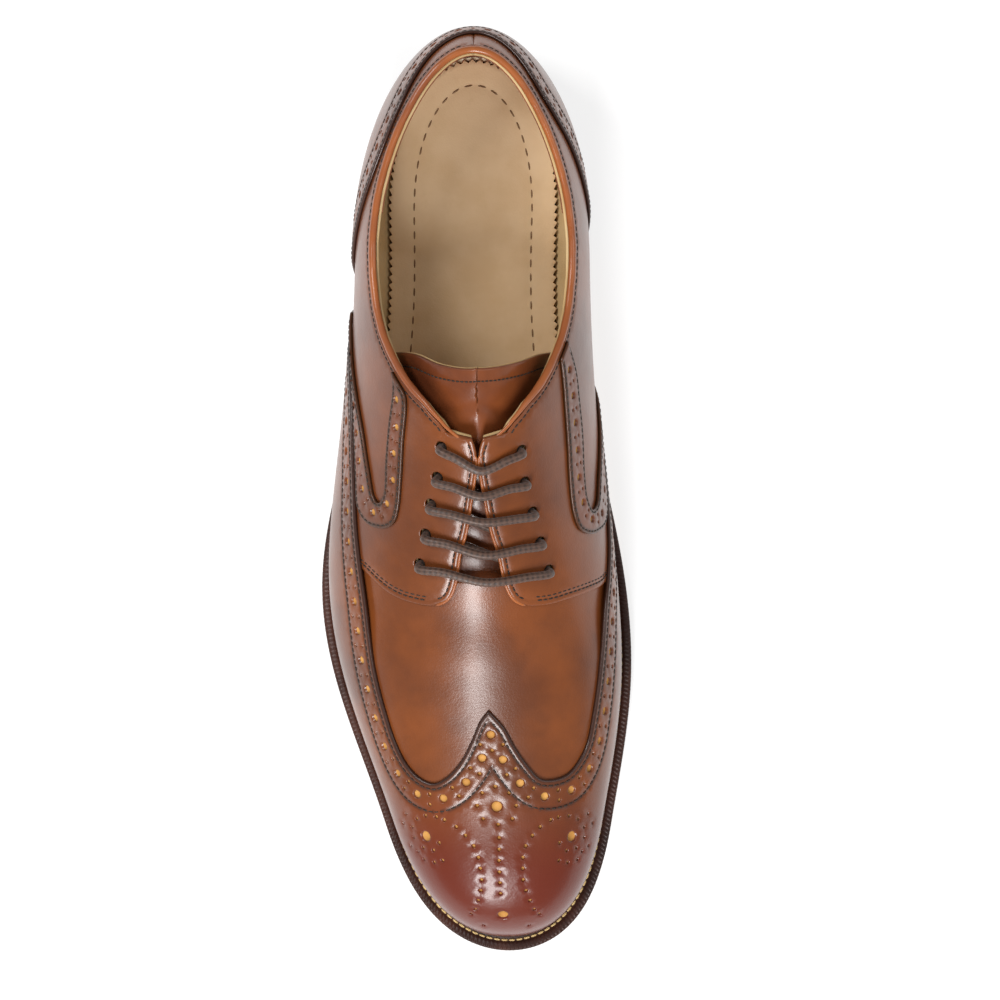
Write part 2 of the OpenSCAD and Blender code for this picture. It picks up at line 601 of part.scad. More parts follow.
top_lift();
heel_lifts();
heel_nails();
outsole();
welt();
cork_filler();
steel_shank();
insole_board();
footbed_foam();
sock_lining();
vamp();
wing_cap();
quarter_lateral();
quarter_medial();
counter_foxing();
facing_band_lateral();
facing_band_medial();
collar_bead();
toe_puff();
heel_stiffener();
vamp_lining();
quarter_lining_lateral();
quarter_lining_medial();
tongue();
tongue_lining();
lace();
lace_tips();
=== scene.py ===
"""A man's right wingtip derby shoe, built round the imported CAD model.

Every leather piece is cut from one surface, the outside of the shoe. A place on
it is (u, w): u runs in millimetres from the heel's back to the toe's tip, and w is
the distance in millimetres from the ridge, below 0 on the lateral side. Patterns
are drawn as (y, v) instead, as in the CAD: v is 0 on the ridge and 1 at the
feather line. Millimetres are used throughout, and meshes are made in metres.
"""
import math

import bpy
import numpy as np
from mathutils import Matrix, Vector
from mathutils.geometry import delaunay_2d_cdt
from mathutils.kdtree import KDTree


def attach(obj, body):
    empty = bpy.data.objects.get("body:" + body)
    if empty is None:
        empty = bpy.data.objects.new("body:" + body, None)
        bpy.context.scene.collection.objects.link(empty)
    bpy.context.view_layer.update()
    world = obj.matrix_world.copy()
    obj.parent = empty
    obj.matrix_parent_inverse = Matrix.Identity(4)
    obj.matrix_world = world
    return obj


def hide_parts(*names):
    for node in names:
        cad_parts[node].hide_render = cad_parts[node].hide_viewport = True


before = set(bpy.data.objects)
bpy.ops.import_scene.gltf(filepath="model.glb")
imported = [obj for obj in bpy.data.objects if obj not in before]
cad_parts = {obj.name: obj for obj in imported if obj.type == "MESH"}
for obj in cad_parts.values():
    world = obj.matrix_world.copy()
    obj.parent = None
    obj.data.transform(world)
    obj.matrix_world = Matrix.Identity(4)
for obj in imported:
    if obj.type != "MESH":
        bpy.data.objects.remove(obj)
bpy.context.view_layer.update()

MM = 0.001
# The last's own frame sits this far from the part's frame
FRAME_SHIFT = np.array([0.6, 1.6, 0.0])

# ------------------------------------------------------------------ the last
FIRST_Y = -160.0
STEP_Y = 32.0
HALF_WIDTH = [28.6, 29.4, 38.4, 46.8, 48.6, 45.2, 41.2, 39.4, 39, 39, 39]
TUCK_UNDER = [1.5, 2, 2.2, 2.4, 3, 5.5, 8, 9.5, 7.5, 6.5, 6.5]
CENTRE_X = [11, 8, 5.6, 1.8, -2, -2.3, -1.9, -1.7, -1.5, -1.2, -1]
RIDGE_SKEW = [0, 0, 0.2, 1, 3, 2.6, 2, 1, 0, 0, 0]
FULL_HEIGHT = [30, 31.5, 42, 51, 61, 75, 86, 90, 89, 88, 88]
FLANK_HEIGHT = [9, 10, 11, 12, 13, 16, 19, 20, 19, 18, 18]
FEATHER_Z = [21.5, 14, 10.2, 8.8, 9.4, 13, 20, 26.5, 30, 31, 31]
ROUNDNESS = [2.3, 2.3, 2.25, 2.1, 1.9, 1.75, 1.6, 1.6, 1.6, 1.6, 1.6]
SOLE_HALF_WIDTH = [31.8, 33, 41.8, 50.4, 52, 45.5, 36.5, 33.5, 34.8, 36.2, 36.2]
TOE_TIP_Y = -148.3
SOLE_TOE_Y = -153.2
SOLE_HEEL_Y = 150.0
WIDEST_V = 0.8
TOE_START_Y = -108.0
TOE_DROP_Y = -116.0      # where the toe begins to come down
HEEL_START_Y = 72.0
FEATHER_CURVE_Y = 88.0   # where the heel's curve starts at the feather line
HEEL_SECTION_Y = 112.0   # the section whose heights are used all round the heel
HEEL_BACK_Y = 149.0      # the heel's farthest point, BULGE_H above the feather line
BULGE_H = 20.0
HEEL_POWER = 2.1         # how square the heel is, seen from above
TOE_POWER = 2.5          # and how late the toe closes


def along(sizes, y):
    """A cubic B-spline through a list of section sizes."""
    last = len(sizes) - 1
    s = np.clip((np.asarray(y, float) - FIRST_Y) / STEP_Y, 0, last - 1e-6)
    i = np.floor(s).astype(int)
    t = s - i
    c = np.array([2 * sizes[0] - sizes[1], *sizes, 2 * sizes[-1] - sizes[-2]], float)
    return ((1 - t) ** 3 * c[i] + (3 * t ** 3 - 6 * t * t + 4) * c[i + 1]
            + (-3 * t ** 3 + 3 * t * t + 3 * t + 1) * c[i + 2] + t ** 3 * c[i + 3]) / 6


def ramp(x, low, high):
    """0 where x is at low, 1 where it is at high, straight between them."""
    return np.clip((x - low) / (high - low), 0, 1)


def smoothstep(x, low, high):
    """A ramp with soft ends."""
    t = ramp(x, low, high)
    return t * t * (3 - 2 * t)


def closing(y, start, tip, p, q):
    """How far a section has closed towards the toe, 1 where it is open."""
    return (1 - ramp(-y, -start, -tip) ** p) ** (1 / q)


def section(y, v, d):
    """Half width, height over the feather line and ridge share of a section."""
    w = along(HALF_WIDTH, y) - d
    low_w = w - along(TUCK_UNDER, y)
    top = along(FULL_HEIGHT, y) - d
    flank = along(FLANK_HEIGHT, y)
    n = along(ROUNDNESS, y)
    angle = math.pi / 2 * ramp(v, WIDEST_V, 0)
    low = ramp(v, 1, WIDEST_V)
    upper = v < WIDEST_V
    half = np.where(upper, w * np.cos(angle) ** (2 / n),
                    low_w + (w - low_w) * np.sin(low * math.pi / 2))
    height = np.where(upper, flank + (top - flank) * np.sin(angle) ** (2 / n), flank * low)
    return half, height, np.where(upper, np.sin(angle) ** 2, 0)


def heel_start(h):
    """The y where the heel's curve starts at a height over the feather line."""
    return HEEL_START_Y + (FEATHER_CURVE_Y - HEEL_START_Y) * np.exp(-h / 8)


def heel_back(h):
    """The y of the heel's back at a height over the feather line."""
    above, below = (h - BULGE_H) / 35, (BULGE_H - h) / 20
    return np.where(h > BULGE_H, HEEL_BACK_Y - 8.5 * above ** 2, HEEL_BACK_Y - 2.5 * below ** 2)


def heel_height(v, d):
    """Height over the feather line, the same for every place round the heel."""
    return section(HEEL_SECTION_Y, v, d)[1]


def on_last(y, v, side, d):
    """A point of the layer at depth d, in the last's own frame."""
    half, height, share = section(y, v, d)
    level = heel_height(v, d)
    round_heel = np.sqrt(1 - ramp(y, heel_start(level), heel_back(level) - d) ** HEEL_POWER)
    toe_w = closing(y, TOE_START_Y, TOE_TIP_Y + d, TOE_POWER, 2)
    toe_h = closing(y, TOE_DROP_Y, TOE_TIP_Y + d, 2.6, 2.1)
    x = along(CENTRE_X, y) + side * half * round_heel * toe_w + along(RIDGE_SKEW, y) * share
    return np.stack(np.broadcast_arrays(x, y, along(FEATHER_Z, y) + height * toe_h), -1)


# -------------------------------------------------- places on the surface
HEEL_MM = 0.95          # millimetres of u for each degree round the heel
TOE_MM = 0.67           # and for each degree down over the toe
HEEL_END = HEEL_START_Y + 90 * HEEL_MM
TOE_END = TOE_START_Y - 90 * TOE_MM


def forward_share(u):
    """How much of the heel's shift a place in front of the heel still has."""
    return ramp(u - HEEL_START_Y, -110, 0) ** 2


def y_of(u, v, d=0.0):
    """The y of a place given as u and v, on the layer at depth d."""
    h = heel_height(v, d)
    start = heel_start(h)
    middle = u + (start - HEEL_START_Y) * forward_share(u)
    turn = np.radians(np.clip((u - HEEL_START_Y) / HEEL_MM, 0, 90))
    rear = start + (heel_back(h) - d - start) * np.sin(turn)
    down = np.radians(np.clip((TOE_START_Y - u) / TOE_MM, 0, 90))
    front = TOE_START_Y - (TOE_START_Y - TOE_TIP_Y - d) * np.sin(down)
    return np.where(u > HEEL_START_Y, rear, np.where(u < TOE_START_Y, front, middle))


V_STEPS = 120
SHARE_STEPS = 160


def girth_tables():
    """By stations of u: the distance from the ridge to the feather line, the share of it
    that is reached at each v, and the v that is reached at each share."""
    us = np.linspace(TOE_END, HEEL_END, 260)
    v = np.linspace(0, 1, V_STEPS + 1)
    total = 0
    for side in (-1, 1):
        p = on_last(y_of(us[:, None], v[None, :]), v[None, :], side, 0.0)
        total = total + np.linalg.norm(np.diff(p, axis=1), axis=2) / 2
    reached = np.concatenate([np.zeros((len(us), 1)), np.cumsum(total, axis=1)], axis=1)
    length = np.maximum(reached[:, -1], 0.05)
    share = reached / length[:, None]
    share[0] = v
    even = np.linspace(0, 1, SHARE_STEPS + 1)
    v_at = np.array([np.interp(even, row, v) for row in share])
    return us, length, share, v_at


GIRTH_U, GIRTH_MM, SHARE_AT_V, V_AT_SHARE = girth_tables()


def girth(u):
    """The distance from the ridge to the feather line."""
    return np.interp(u, GIRTH_U, GIRTH_MM)


def look_up(table, u, x, steps):
    """A table's value between its stations of u and its even steps of x, from 0 to 1."""
    i = np.clip((u - GIRTH_U[0]) / (GIRTH_U[1] - GIRTH_U[0]), 0, len(GIRTH_U) - 1.001)
    j = np.clip(np.asarray(x) * steps, 0, steps - 1e-6)
    a, b = np.floor(i).astype(int), np.floor(j).astype(int)
    s, t = i - a, j - b
    return ((1 - s) * ((1 - t) * table[a, b] + t * table[a, b + 1])
            + s * ((1 - t) * table[a + 1, b] + t * table[a + 1, b + 1]))


def v_of(u, w):
    """The v of a place given as u and w."""
    return look_up(V_AT_SHARE, u, np.abs(w) / girth(u), SHARE_STEPS)


def surface(uw, d=0.0):
    """Points of the layer at depth d for rows of (u, w), in the part's frame."""
    u, w = uw[..., 0], uw[..., 1]
    v = v_of(u, w)
    return on_last(y_of(u, v, d), v, np.where(w < 0, -1, 1), d) + FRAME_SHIFT


def u_of(y, v):
    """The u of a place given as y and v."""
    y, v = np.broadcast_arrays(np.asarray(y, float), np.abs(np.asarray(v, float)))
    h = heel_height(v, 0.0)
    start = heel_start(h)
    u = y.copy()
    for _ in range(40):
        u = y - (start - HEEL_START_Y) * forward_share(u)
    turn = np.degrees(np.arcsin(np.clip((y - start) / (heel_back(h) - start), 0, 1)))
    down = np.degrees(np.arcsin(np.clip((TOE_START_Y - y) / (TOE_START_Y - TOE_TIP_Y), 0, 1)))
    u = np.where(y > start, HEEL_START_Y + turn * HEEL_MM, u)
    return np.where(y < TOE_START_Y, TOE_START_Y - down * TOE_MM, u)


def place(points):
    """Rows of (u, w) for pattern points given as (y, v)."""
    p = np.asarray(points, float).reshape(-1, 2)
    u = u_of(p[:, 0], p[:, 1])
    share = look_up(SHARE_AT_V, u, np.abs(p[:, 1]), V_STEPS)
    return np.stack([u, np.sign(p[:, 1]) * share * girth(u)], -1)


def same(q):
    """Rows of (u, w) as they are; see unwrap for the other way to read places."""
    return q


def jacobian(q, where=same, e=0.1):
    """How the surface's points move with each coordinate of a place."""
    du = (surface(where(q + [e, 0])) - surface(where(q - [e, 0]))) / (2 * e)
    dw = (surface(where(q + [0, e])) - surface(where(q - [0, e]))) / (2 * e)
    return du, dw


def metric(q, where=same, e=0.1):
    """The surface's metric, a b / b c, at rows of places."""
    du, dw = jacobian(q, where, e)
    return (du * du).sum(-1) + 1e-3, (du * dw).sum(-1), (dw * dw).sum(-1) + 1e-3


def outward(uw):
    """The outer normal at rows of (u, w)."""
    du, dw = jacobian(uw)
    n = np.cross(dw, du)
    size = np.linalg.norm(n, axis=-1, keepdims=True)
    return np.where(size > 1e-4, n / np.maximum(size, 1e-4), [0.0, -1.0, 0.0])


def path_lengths(points):
    """Distance along a path of points, from the first to each of them."""
    return np.concatenate([[0], np.cumsum(np.linalg.norm(np.diff(points, axis=0), axis=1))])


def lengths(line):
    """Distance on the surface along a line of (u, w), from its first point to each of its points."""
    return path_lengths(surface(line))


def at_lengths(line, s, t):
    """The places at distances t along a line whose own points are at distances s."""
    return np.stack([np.interp(t, s, column) for column in line.T], -1)


def resample(line, step, count=None):
    """A line evenly spaced on the surface, by a step in millimetres or a count of points."""
    s = lengths(line)
    n = count or max(2, int(round(s[-1] / step)) + 1)
    return at_lengths(line, s, np.linspace(0, s[-1], n))


def curve_through(points, per=16):
    """A smooth line through rows of points, by centripetal Catmull-Rom."""
    p = np.asarray(points, float)
    p = np.concatenate([[2 * p[0] - p[1]], p, [2 * p[-1] - p[-2]]])
    out = []
    for i in range(1, len(p) - 2):
        a, b, c, e = p[i - 1], p[i], p[i + 1], p[i + 2]
        t1 = np.linalg.norm(b - a) ** 0.5 + 1e-9
        t2 = t1 + np.linalg.norm(c - b) ** 0.5 + 1e-9
        t3 = t2 + np.linalg.norm(e - c) ** 0.5 + 1e-9
        t = np.linspace(t1, t2, per, endpoint=False)[:, None]
        ab = a + (b - a) * t / t1
        bc = b + (c - b) * (t - t1) / (t2 - t1)
        ce = c + (e - c) * (t - t2) / (t3 - t2)
        abc = ab + (bc - ab) * t / t2
        bce = bc + (ce - bc) * (t - t1) / (t3 - t1)
        out.append(abc + (bce - abc) * (t - t1) / (t2 - t1))
    out.append(p[-2][None, :])
    return np.concatenate(out)


def smooth_line(points, step=1.2):
    """A smooth line through pattern points (y, v), evenly spaced on the surface."""
    return resample(curve_through(place(points)), step)


def side_of(line, distance, where=same):
    """A line moved sideways on the surface, to its left for distances above 0."""
    tangent = np.gradient(line, axis=0)
    a, b, c = metric(line, where)
    det = a * c - b * b
    n = np.stack([-c * tangent[:, 1] - b * tangent[:, 0],
                  b * tangent[:, 1] + a * tangent[:, 0]], -1)
    n = n / det[:, None]
    size = np.sqrt(a * n[:, 0] ** 2 + 2 * b * n[:, 0] * n[:, 1] + c * n[:, 1] ** 2)
    return line + distance * n / size[:, None]


def ring(centre, radius, count, where=same):
    """A true circle on the surface, as rows of places."""
    a, b, c = (float(m[0]) for m in metric(np.asarray([centre], float), where, radius))
    values, vectors = np.linalg.eigh(np.array([[a, b], [b, c]]))
    root = vectors @ np.diag(1 / np.sqrt(np.maximum(values, 0.02))) @ vectors.T
    t = np.arange(count) * 2 * math.pi / count
    return np.asarray(centre) + radius * np.stack([np.cos(t), np.sin(t)], -1) @ root


def feather(u0, u1, side, step=1.2):
    """The feather line of one side between two values of u."""
    u = np.linspace(u0, u1, 400)
    return resample(np.stack([u, side * girth(u)], -1), step)


# --------------------------------------------------------- cutting leather
def inside(points, polygon):
    """Whether each point is inside a closed polygon."""
    x, y = points[:, 0], points[:, 1]
    found = np.zeros(len(points), bool)
    for a, b in zip(polygon, np.roll(polygon, -1, 0)):
        if a[1] == b[1]:
            continue
        crosses = (a[1] > y) != (b[1] > y)
        found ^= crosses & (x < (b[0] - a[0]) * (y - a[1]) / (b[1] - a[1]) + a[0])
    return found


def distances(points, targets):
    """Distance from each 3-D point to the nearest target."""
    tree = KDTree(len(targets))
    for i, p in enumerate(targets):
        tree.insert(p, i)
    tree.balance()
    return np.array([tree.find(p)[2] for p in points])


def join_paths(paths):
    """One closed outline of lines that meet end to end."""
    return np.concatenate([p[:-1] for p in paths])


def new_mesh(name, verts, faces, materials, looks=None, attributes=None):
    """A mesh object in metres from rows of points in millimetres."""
    mesh = bpy.data.meshes.new(name)
    mesh.from_pydata((np.asarray(verts) * MM).tolist(), [], faces)
    for m in materials:
        mesh.materials.append(m)
    if looks is not None:
        mesh.polygons.foreach_set("material_index", np.asarray(looks, np.int32))
    mesh.polygons.foreach_set("use_smooth", np.ones(len(mesh.polygons), bool))
    for key, values in (attributes or {}).items():
        layer = mesh.attributes.new(key, "FLOAT", "POINT")
        layer.data.foreach_set("value", np.asarray(values, np.float32))
    mesh.update()
    obj = bpy.data.objects.new(name, mesh)
    bpy.context.scene.collection.objects.link(obj)
    return obj


SEAM_DEPTH = 0.22       # how deep the stitching pulls a seam in
FAR = 9.0               # the edge and seam values of places that are near neither


def loop_edges(first, n):
    """The edges of a closed loop of n points that are numbered from first."""
    return [(first + i, first + (i + 1) % n) for i in range(n)]


def edge_rows(outline, edge_round, where):
    """Rows of places along an outline, and the depths that round off the cut edge."""
    closed = np.concatenate([outline[-2:], outline, outline[:2]])
    edge = surface(where(midpoints(outline)))
    rows, drops = [outline], [np.full(len(outline), edge_round)]
    for e, share in ((0.14, 0.4), (0.45, 0.06), (1.0, 0.0)):
        row = side_of(closed, e, where)[2:-2]
        row = row[distances(surface(where(row)), edge) > 0.85 * e]
        rows.append(row)
        drops.append(np.full(len(row), edge_round * share))
    return rows, drops


def seam_rows(seams, where):
    """Three rows of places for each seam, and the depths that press its middle in."""
    rows, drops = [], []
    for line in seams:
        for e, drop in ((-0.5, 0.0), (0.0, SEAM_DEPTH), (0.5, 0.0)):
            rows.append(line if e == 0 else side_of(line, e, where))
            drops.append(np.full(len(rows[-1]), drop))
    return rows, drops


def hole_rows(holes, first, where):
    """Two rings of places for each hole, their depths, and (first point, count, u, w, radius)."""
    rows, drops, loops = [], [], []
    for u, w, radius in holes:
        n = 10 if radius < 0.8 else 18
        rows += [ring((u, w), r, n, where) for r in (radius, radius + 0.2 + 0.12 * radius)]
        drops += [np.full(n, 0.1), np.full(n, -0.07)]
        loops.append((first, n, u, w, radius))
        first += 2 * n
    return rows, drops, loops


def grid_inside(outline, spacing, fixed, where):
    """A hexagonal grid of places inside an outline, clear of the fixed places."""
    low, high = outline.min(0), outline.max(0)
    us = np.arange(low[0], high[0], spacing * 0.866)
    ws = np.arange(low[1], high[1], spacing)
    gu, gw = np.meshgrid(us, ws, indexing="ij")
    gw = gw + (np.arange(len(us)) % 2)[:, None] * spacing / 2
    grid = np.stack([gu.ravel(), gw.ravel()], -1)
    grid = grid[inside(grid, outline)]
    if len(grid):
        grid = grid[distances(surface(where(grid)), surface(where(fixed))) > 0.6 * spacing]
    return grid


def triangulated(flat, edges, outline, loops):
    """Triangles that fill an outline round its holes.

    Gives their corners, the triangles, which place each corner was (-1 for a new one)
    and the new number of each place.
    """
    found = delaunay_2d_cdt([Vector(p) for p in flat], edges, [], 0, 1e-5)
    corners = np.array([[p[0], p[1]] for p in found[0]])
    tris = np.array(found[2])
    source = np.array([olds[0] if olds else -1 for olds in found[3]])
    middle = corners[tris].mean(1)
    keep = inside(middle, outline)
    for start, n, u, w, radius in loops:
        near = np.abs(middle - [u, w]).max(1) < 3 * radius + 2
        keep[near] &= ~inside(middle[near], flat[start:start + n])
    tris = tris[keep]
    a, b, c = (corners[tris[:, k]] for k in range(3))
    turn = (b - a)[:, 0] * (c - a)[:, 1] - (b - a)[:, 1] * (c - a)[:, 0]
    tris, turn = tris[np.abs(turn) > 1e-9], turn[np.abs(turn) > 1e-9]
    tris = np.where((turn > 0)[:, None], tris, tris[:, ::-1])
    used = np.zeros(len(corners), bool)
    used[tris] = True
    new_id = np.cumsum(used) - 1
    number = {old: int(new_id[new]) for new, olds in enumerate(found[3]) for old in olds}
    return corners[used], new_id[tris], source[used], number


def leather(name, look, outline, depth, thickness, holes=(), seams=(), spacing=1.8,
            lift=None, edge_round=0.45, wrap=False, through=False):
    """A closed sheet of leather, cut along an outline of (u, w) rows.

    holes are (u, w, radius); they are blind, with a second material at the bottom,
    or go through. seams are lines of (u, w) that are pressed in a little. lift gives
    the extra depth of a place. wrap=True reads u as the distance round the heel.
    """
    where = unwrap if wrap else same
    outline = np.asarray(outline, float)
    if polygon_area(outline) < 0:
        outline = outline[::-1]
    rim, rim_drops = edge_rows(outline, edge_round, where)
    sunk, sunk_drops = seam_rows(seams, where)
    first = sum(len(row) for row in rim + sunk)
    rings, ring_drops, loops = hole_rows(holes, first, where)
    fixed = np.concatenate(rim + sunk + rings)
    grid = grid_inside(outline, spacing, fixed, where)
    drop = np.concatenate(rim_drops + sunk_drops + ring_drops + [np.zeros(len(grid))])
    edges = loop_edges(0, len(outline))
    for start, n, *_ in loops:
        edges += loop_edges(start, n)
    flat, tris, source, number = triangulated(np.concatenate([fixed, grid]), edges, outline, loops)
    drop = np.where(source >= 0, drop[source], 0.0)
    flat = where(flat)

    def deeper(places):
        return lift(places) if lift else 0.0

    outer = surface_at(flat, depth + drop + deeper(flat))
    verts = [outer, surface_at(flat, depth + thickness + deeper(flat))]
    n_v = len(outer)
    faces = [*tris.tolist(), *(tris[:, ::-1] + n_v).tolist()]

    def wall(ids):
        faces.extend((i, i + n_v, j + n_v, j) for i, j in zip(ids, ids[1:] + ids[:1]))

    wall(drop_repeats([number[i] for i in range(len(outline))]))
    looks = [0] * len(faces)
    for start, n, u, w, radius in loops:
        loop = [number[start + i] for i in range(n)]
        if through:
            wall(loop[::-1])
            looks += [0] * n
            continue
        base = sum(len(x) for x in verts)
        bottom = where(ring((u, w), radius * 0.93, n, where))
        for places, d in ((bottom, 0.75), (where(np.array([[u, w]])), 0.8)):
            verts.append(surface_at(places, depth + deeper(places) + min(d, thickness * d)))
        for i in range(n):
            j = (i + 1) % n
            faces += [(loop[i], loop[j], base + j, base + i), (base + i, base + j, base + n)]
            looks += [0, 1]
    a, b, c = (outer[tris[:, k]] for k in range(3))
    if (np.cross(b - a, c - a) * outward(flat[tris[:, 0]])).sum() < 0:
        faces = [f[::-1] for f in faces]
    verts = np.concatenate(verts)
    values = {"edge": np.full(len(verts), FAR), "seam": np.full(len(verts), FAR)}
    values["edge"][:n_v] = distances(outer, surface(where(midpoints(outline))))
    values["edge"][n_v:2 * n_v] = 0
    if seams:
        values["seam"][:n_v] = distances(outer, np.concatenate([surface(where(s)) for s in seams]))
    return new_mesh(name, verts, faces, [LOOK[look], LOOK["underlay"]], looks, values)


def polygon_area(p):
    """The area of a closed polygon, below 0 where it runs clockwise."""
    q = np.roll(p, -1, 0)
    return ((p[:, 0] * q[:, 1] - q[:, 0] * p[:, 1]).sum()) / 2


def drop_repeats(ids):
    """A closed list of numbers without those that repeat the one before."""
    return [i for k, i in enumerate(ids) if i != ids[k - 1]]


def midpoints(closed_line):
    """The line's points with the middles between them added."""
    return np.concatenate([closed_line, (closed_line + np.roll(closed_line, -1, 0)) / 2])


def unwrap(q):
    """(u, w) of rows given as distance round the heel, 0 at its back, and w from the ridge."""
    return np.stack([HEEL_END - np.abs(q[:, 0]), np.where(q[:, 0] < 0, -1, 1) * q[:, 1]], -1)


def surface_at(uw, d):
    """The surface for rows of (u, w) that each have their own depth."""
    p = surface(uw, 0.0)
    return p - outward(uw) * np.broadcast_to(d, len(uw))[:, None]


# --------------------------------------------------------------- materials
class Graph:
    """A material's nodes, with short ways to add the common ones."""

    def __init__(self, name, **shader):
        self.material = bpy.data.materials.new(name)
        self.material.use_nodes = True
        self.tree = self.material.node_tree
        self.shader = self.tree.nodes["Principled BSDF"]
        for key, value in shader.items():
            self.shader.inputs[key.replace("_", " ")].default_value = value
        self.coords = self.tree.nodes.new("ShaderNodeTexCoord").outputs["Object"]

    def node(self, kind, inputs=None, **settings):
        """A node of a kind, with values or sockets for its inputs."""
        made = self.tree.nodes.new(kind)
        for key, value in settings.items():
            setattr(made, key, value)
        for key, value in (inputs or {}).items():
            self.put(value, made.inputs[key])
        return made

    def put(self, value, socket):
        if isinstance(value, bpy.types.NodeSocket):
            self.tree.links.new(value, socket)
        else:
            socket.default_value = value

    def set(self, key, value):
        self.put(value, self.shader.inputs[key])

    def noise(self, scale, detail=3.0, rough=0.55, coords=None):
        return self.node("ShaderNodeTexNoise", {
            "Vector": coords or self.coords, "Scale": scale, "Detail": detail, "Roughness": rough,
        }).outputs["Fac"]

    def cells(self, scale):
        return self.node("ShaderNodeTexVoronoi", {
            "Vector": self.coords, "Scale": scale}).outputs["Distance"]

    def attribute(self, name):
        return self.node("ShaderNodeAttribute", attribute_name=name).outputs["Fac"]

    def axis(self, index):
        return self.node("ShaderNodeSeparateXYZ", {"Vector": self.coords}).outputs[index]

    def share(self, value, low, high):
        """0 where value is low, 1 where it is high, with soft ends."""
        return self.node("ShaderNodeMapRange", {"Value": value, "From Min": low, "From Max": high},
                         interpolation_type="SMOOTHSTEP").outputs["Result"]

    def between(self, value, low, high):
        """A value from 0 to 1 stretched to run from low to high."""
        return self.node("ShaderNodeMapRange", {
            "Value": value, "To Min": low, "To Max": high}).outputs["Result"]

    def math(self, operation, a, b):
        made = self.node("ShaderNodeMath", operation=operation)
        self.put(a, made.inputs[0])
        self.put(b, made.inputs[1])
        return made.outputs[0]

    def mix(self, share, a, b):
        made = self.node("ShaderNodeMix", data_type="RGBA")
        self.put(share, made.inputs["Factor"])
        self.put(colour(a), made.inputs["A"])
        self.put(colour(b), made.inputs["B"])
        return made.outputs["Result"]

    def mapped(self, scale):
        return self.node("ShaderNodeMapping", {
            "Vector": self.coords, "Scale": scale}).outputs["Vector"]

    def bump(self, heights):
        """A bump from (height socket, distance in metres, strength) rows, one on another."""
        normal = None
        for height, distance, strength in heights:
            made = self.node("ShaderNodeBump", {"Height": height, "Distance": distance,
                                                "Strength": strength})
            if normal is not None:
                self.put(normal, made.inputs["Normal"])
            normal = made.outputs["Normal"]
        self.set("Normal", normal)


def colour(value):
    """A linear colour from an sRGB hex text; sockets pass through."""
    if not isinstance(value, str):
        return value
    parts = [int(value[i:i + 2], 16) / 255 for i in (1, 3, 5)]
    return (*[p / 12.92 if p <= 0.04045 else ((p + 0.055) / 1.055) ** 2.4 for p in parts], 1.0)


def upper_leather(name, tan, deep, edge, toe=None, edge_mm=1.2, seam_dark=0.35, gloss=0.3):
    """Polished calf: mottled dye, a fine grain, burnished edges, seams and toe."""
    g = Graph(name, Coat_Weight=0.26, Coat_Roughness=0.2, Coat_IOR=1.4, IOR=1.4)
    cloud = g.noise(26.0, 4.0)
    fine = g.noise(170.0, 3.0)
    streak = g.noise(60.0, 4.0, 0.6, g.mapped((1.0, 0.35, 1.0)))
    dye = g.mix(g.share(cloud, 0.35, 0.68), tan, deep)
    dye = g.mix(g.math("MULTIPLY", g.share(streak, 0.45, 0.75), 0.35), dye, deep)
    dye = g.mix(g.math("MULTIPLY", g.share(fine, 0.5, 0.8), 0.18), dye, edge)
    if toe:
        far = g.math("ADD", g.axis("Y"), g.math("MULTIPLY", cloud, 0.02))
        dye = g.mix(g.share(far, -0.078, -0.118), dye, toe)
    near_edge = g.share(g.attribute("edge"), edge_mm, 0.15 * edge_mm)
    near_seam = g.math("MULTIPLY", g.share(g.attribute("seam"), 1.3, 0.1), seam_dark)
    dye = g.mix(near_seam, dye, edge)
    g.set("Base Color", g.mix(near_edge, dye, edge))
    g.set("Roughness", g.between(g.noise(90.0, 3.0), gloss - 0.05, gloss + 0.09))
    pores = g.cells(1500.0)
    grain = g.noise(900.0, 4.0, 0.65)
    ripple = g.noise(75.0, 2.0)
    g.bump([(ripple, 0.0009, 0.16), (grain, 0.0002, 0.22), (pores, 0.00012, 0.16)])
    return g.material


def raw_leather(name, light, dark, rough=0.7, scale=220.0, grain=0.3):
    """Unpolished leather, for linings, soles and cut edges."""
    g = Graph(name, Specular_IOR_Level=0.25)
    base = g.mix(g.share(g.noise(45.0, 4.0), 0.3, 0.72), light, dark)
    base = g.mix(g.math("MULTIPLY", g.share(g.noise(scale, 3.0), 0.55, 0.8), 0.35), base, dark)
    g.set("Base Color", base)
    g.set("Roughness", g.between(g.noise(120.0), rough - 0.06, rough + 0.1))
    g.bump([(g.noise(1100.0, 4.0, 0.7), 0.0002, grain), (g.cells(1700.0), 0.0001, grain * 0.6)])
    return g.material


def thread_material(name, light, dark):
    """Waxed thread with its twist showing."""
    g = Graph(name, Roughness=0.55, Specular_IOR_Level=0.3)
    twist = g.node("ShaderNodeTexWave", {"Vector": g.coords, "Scale": 900.0, "Distortion": 1.5},
                   bands_direction="DIAGONAL").outputs["Fac"]
    g.set("Base Color", g.mix(twist, light, dark))
    g.bump([(twist, 0.0001, 0.4)])
    return g.material


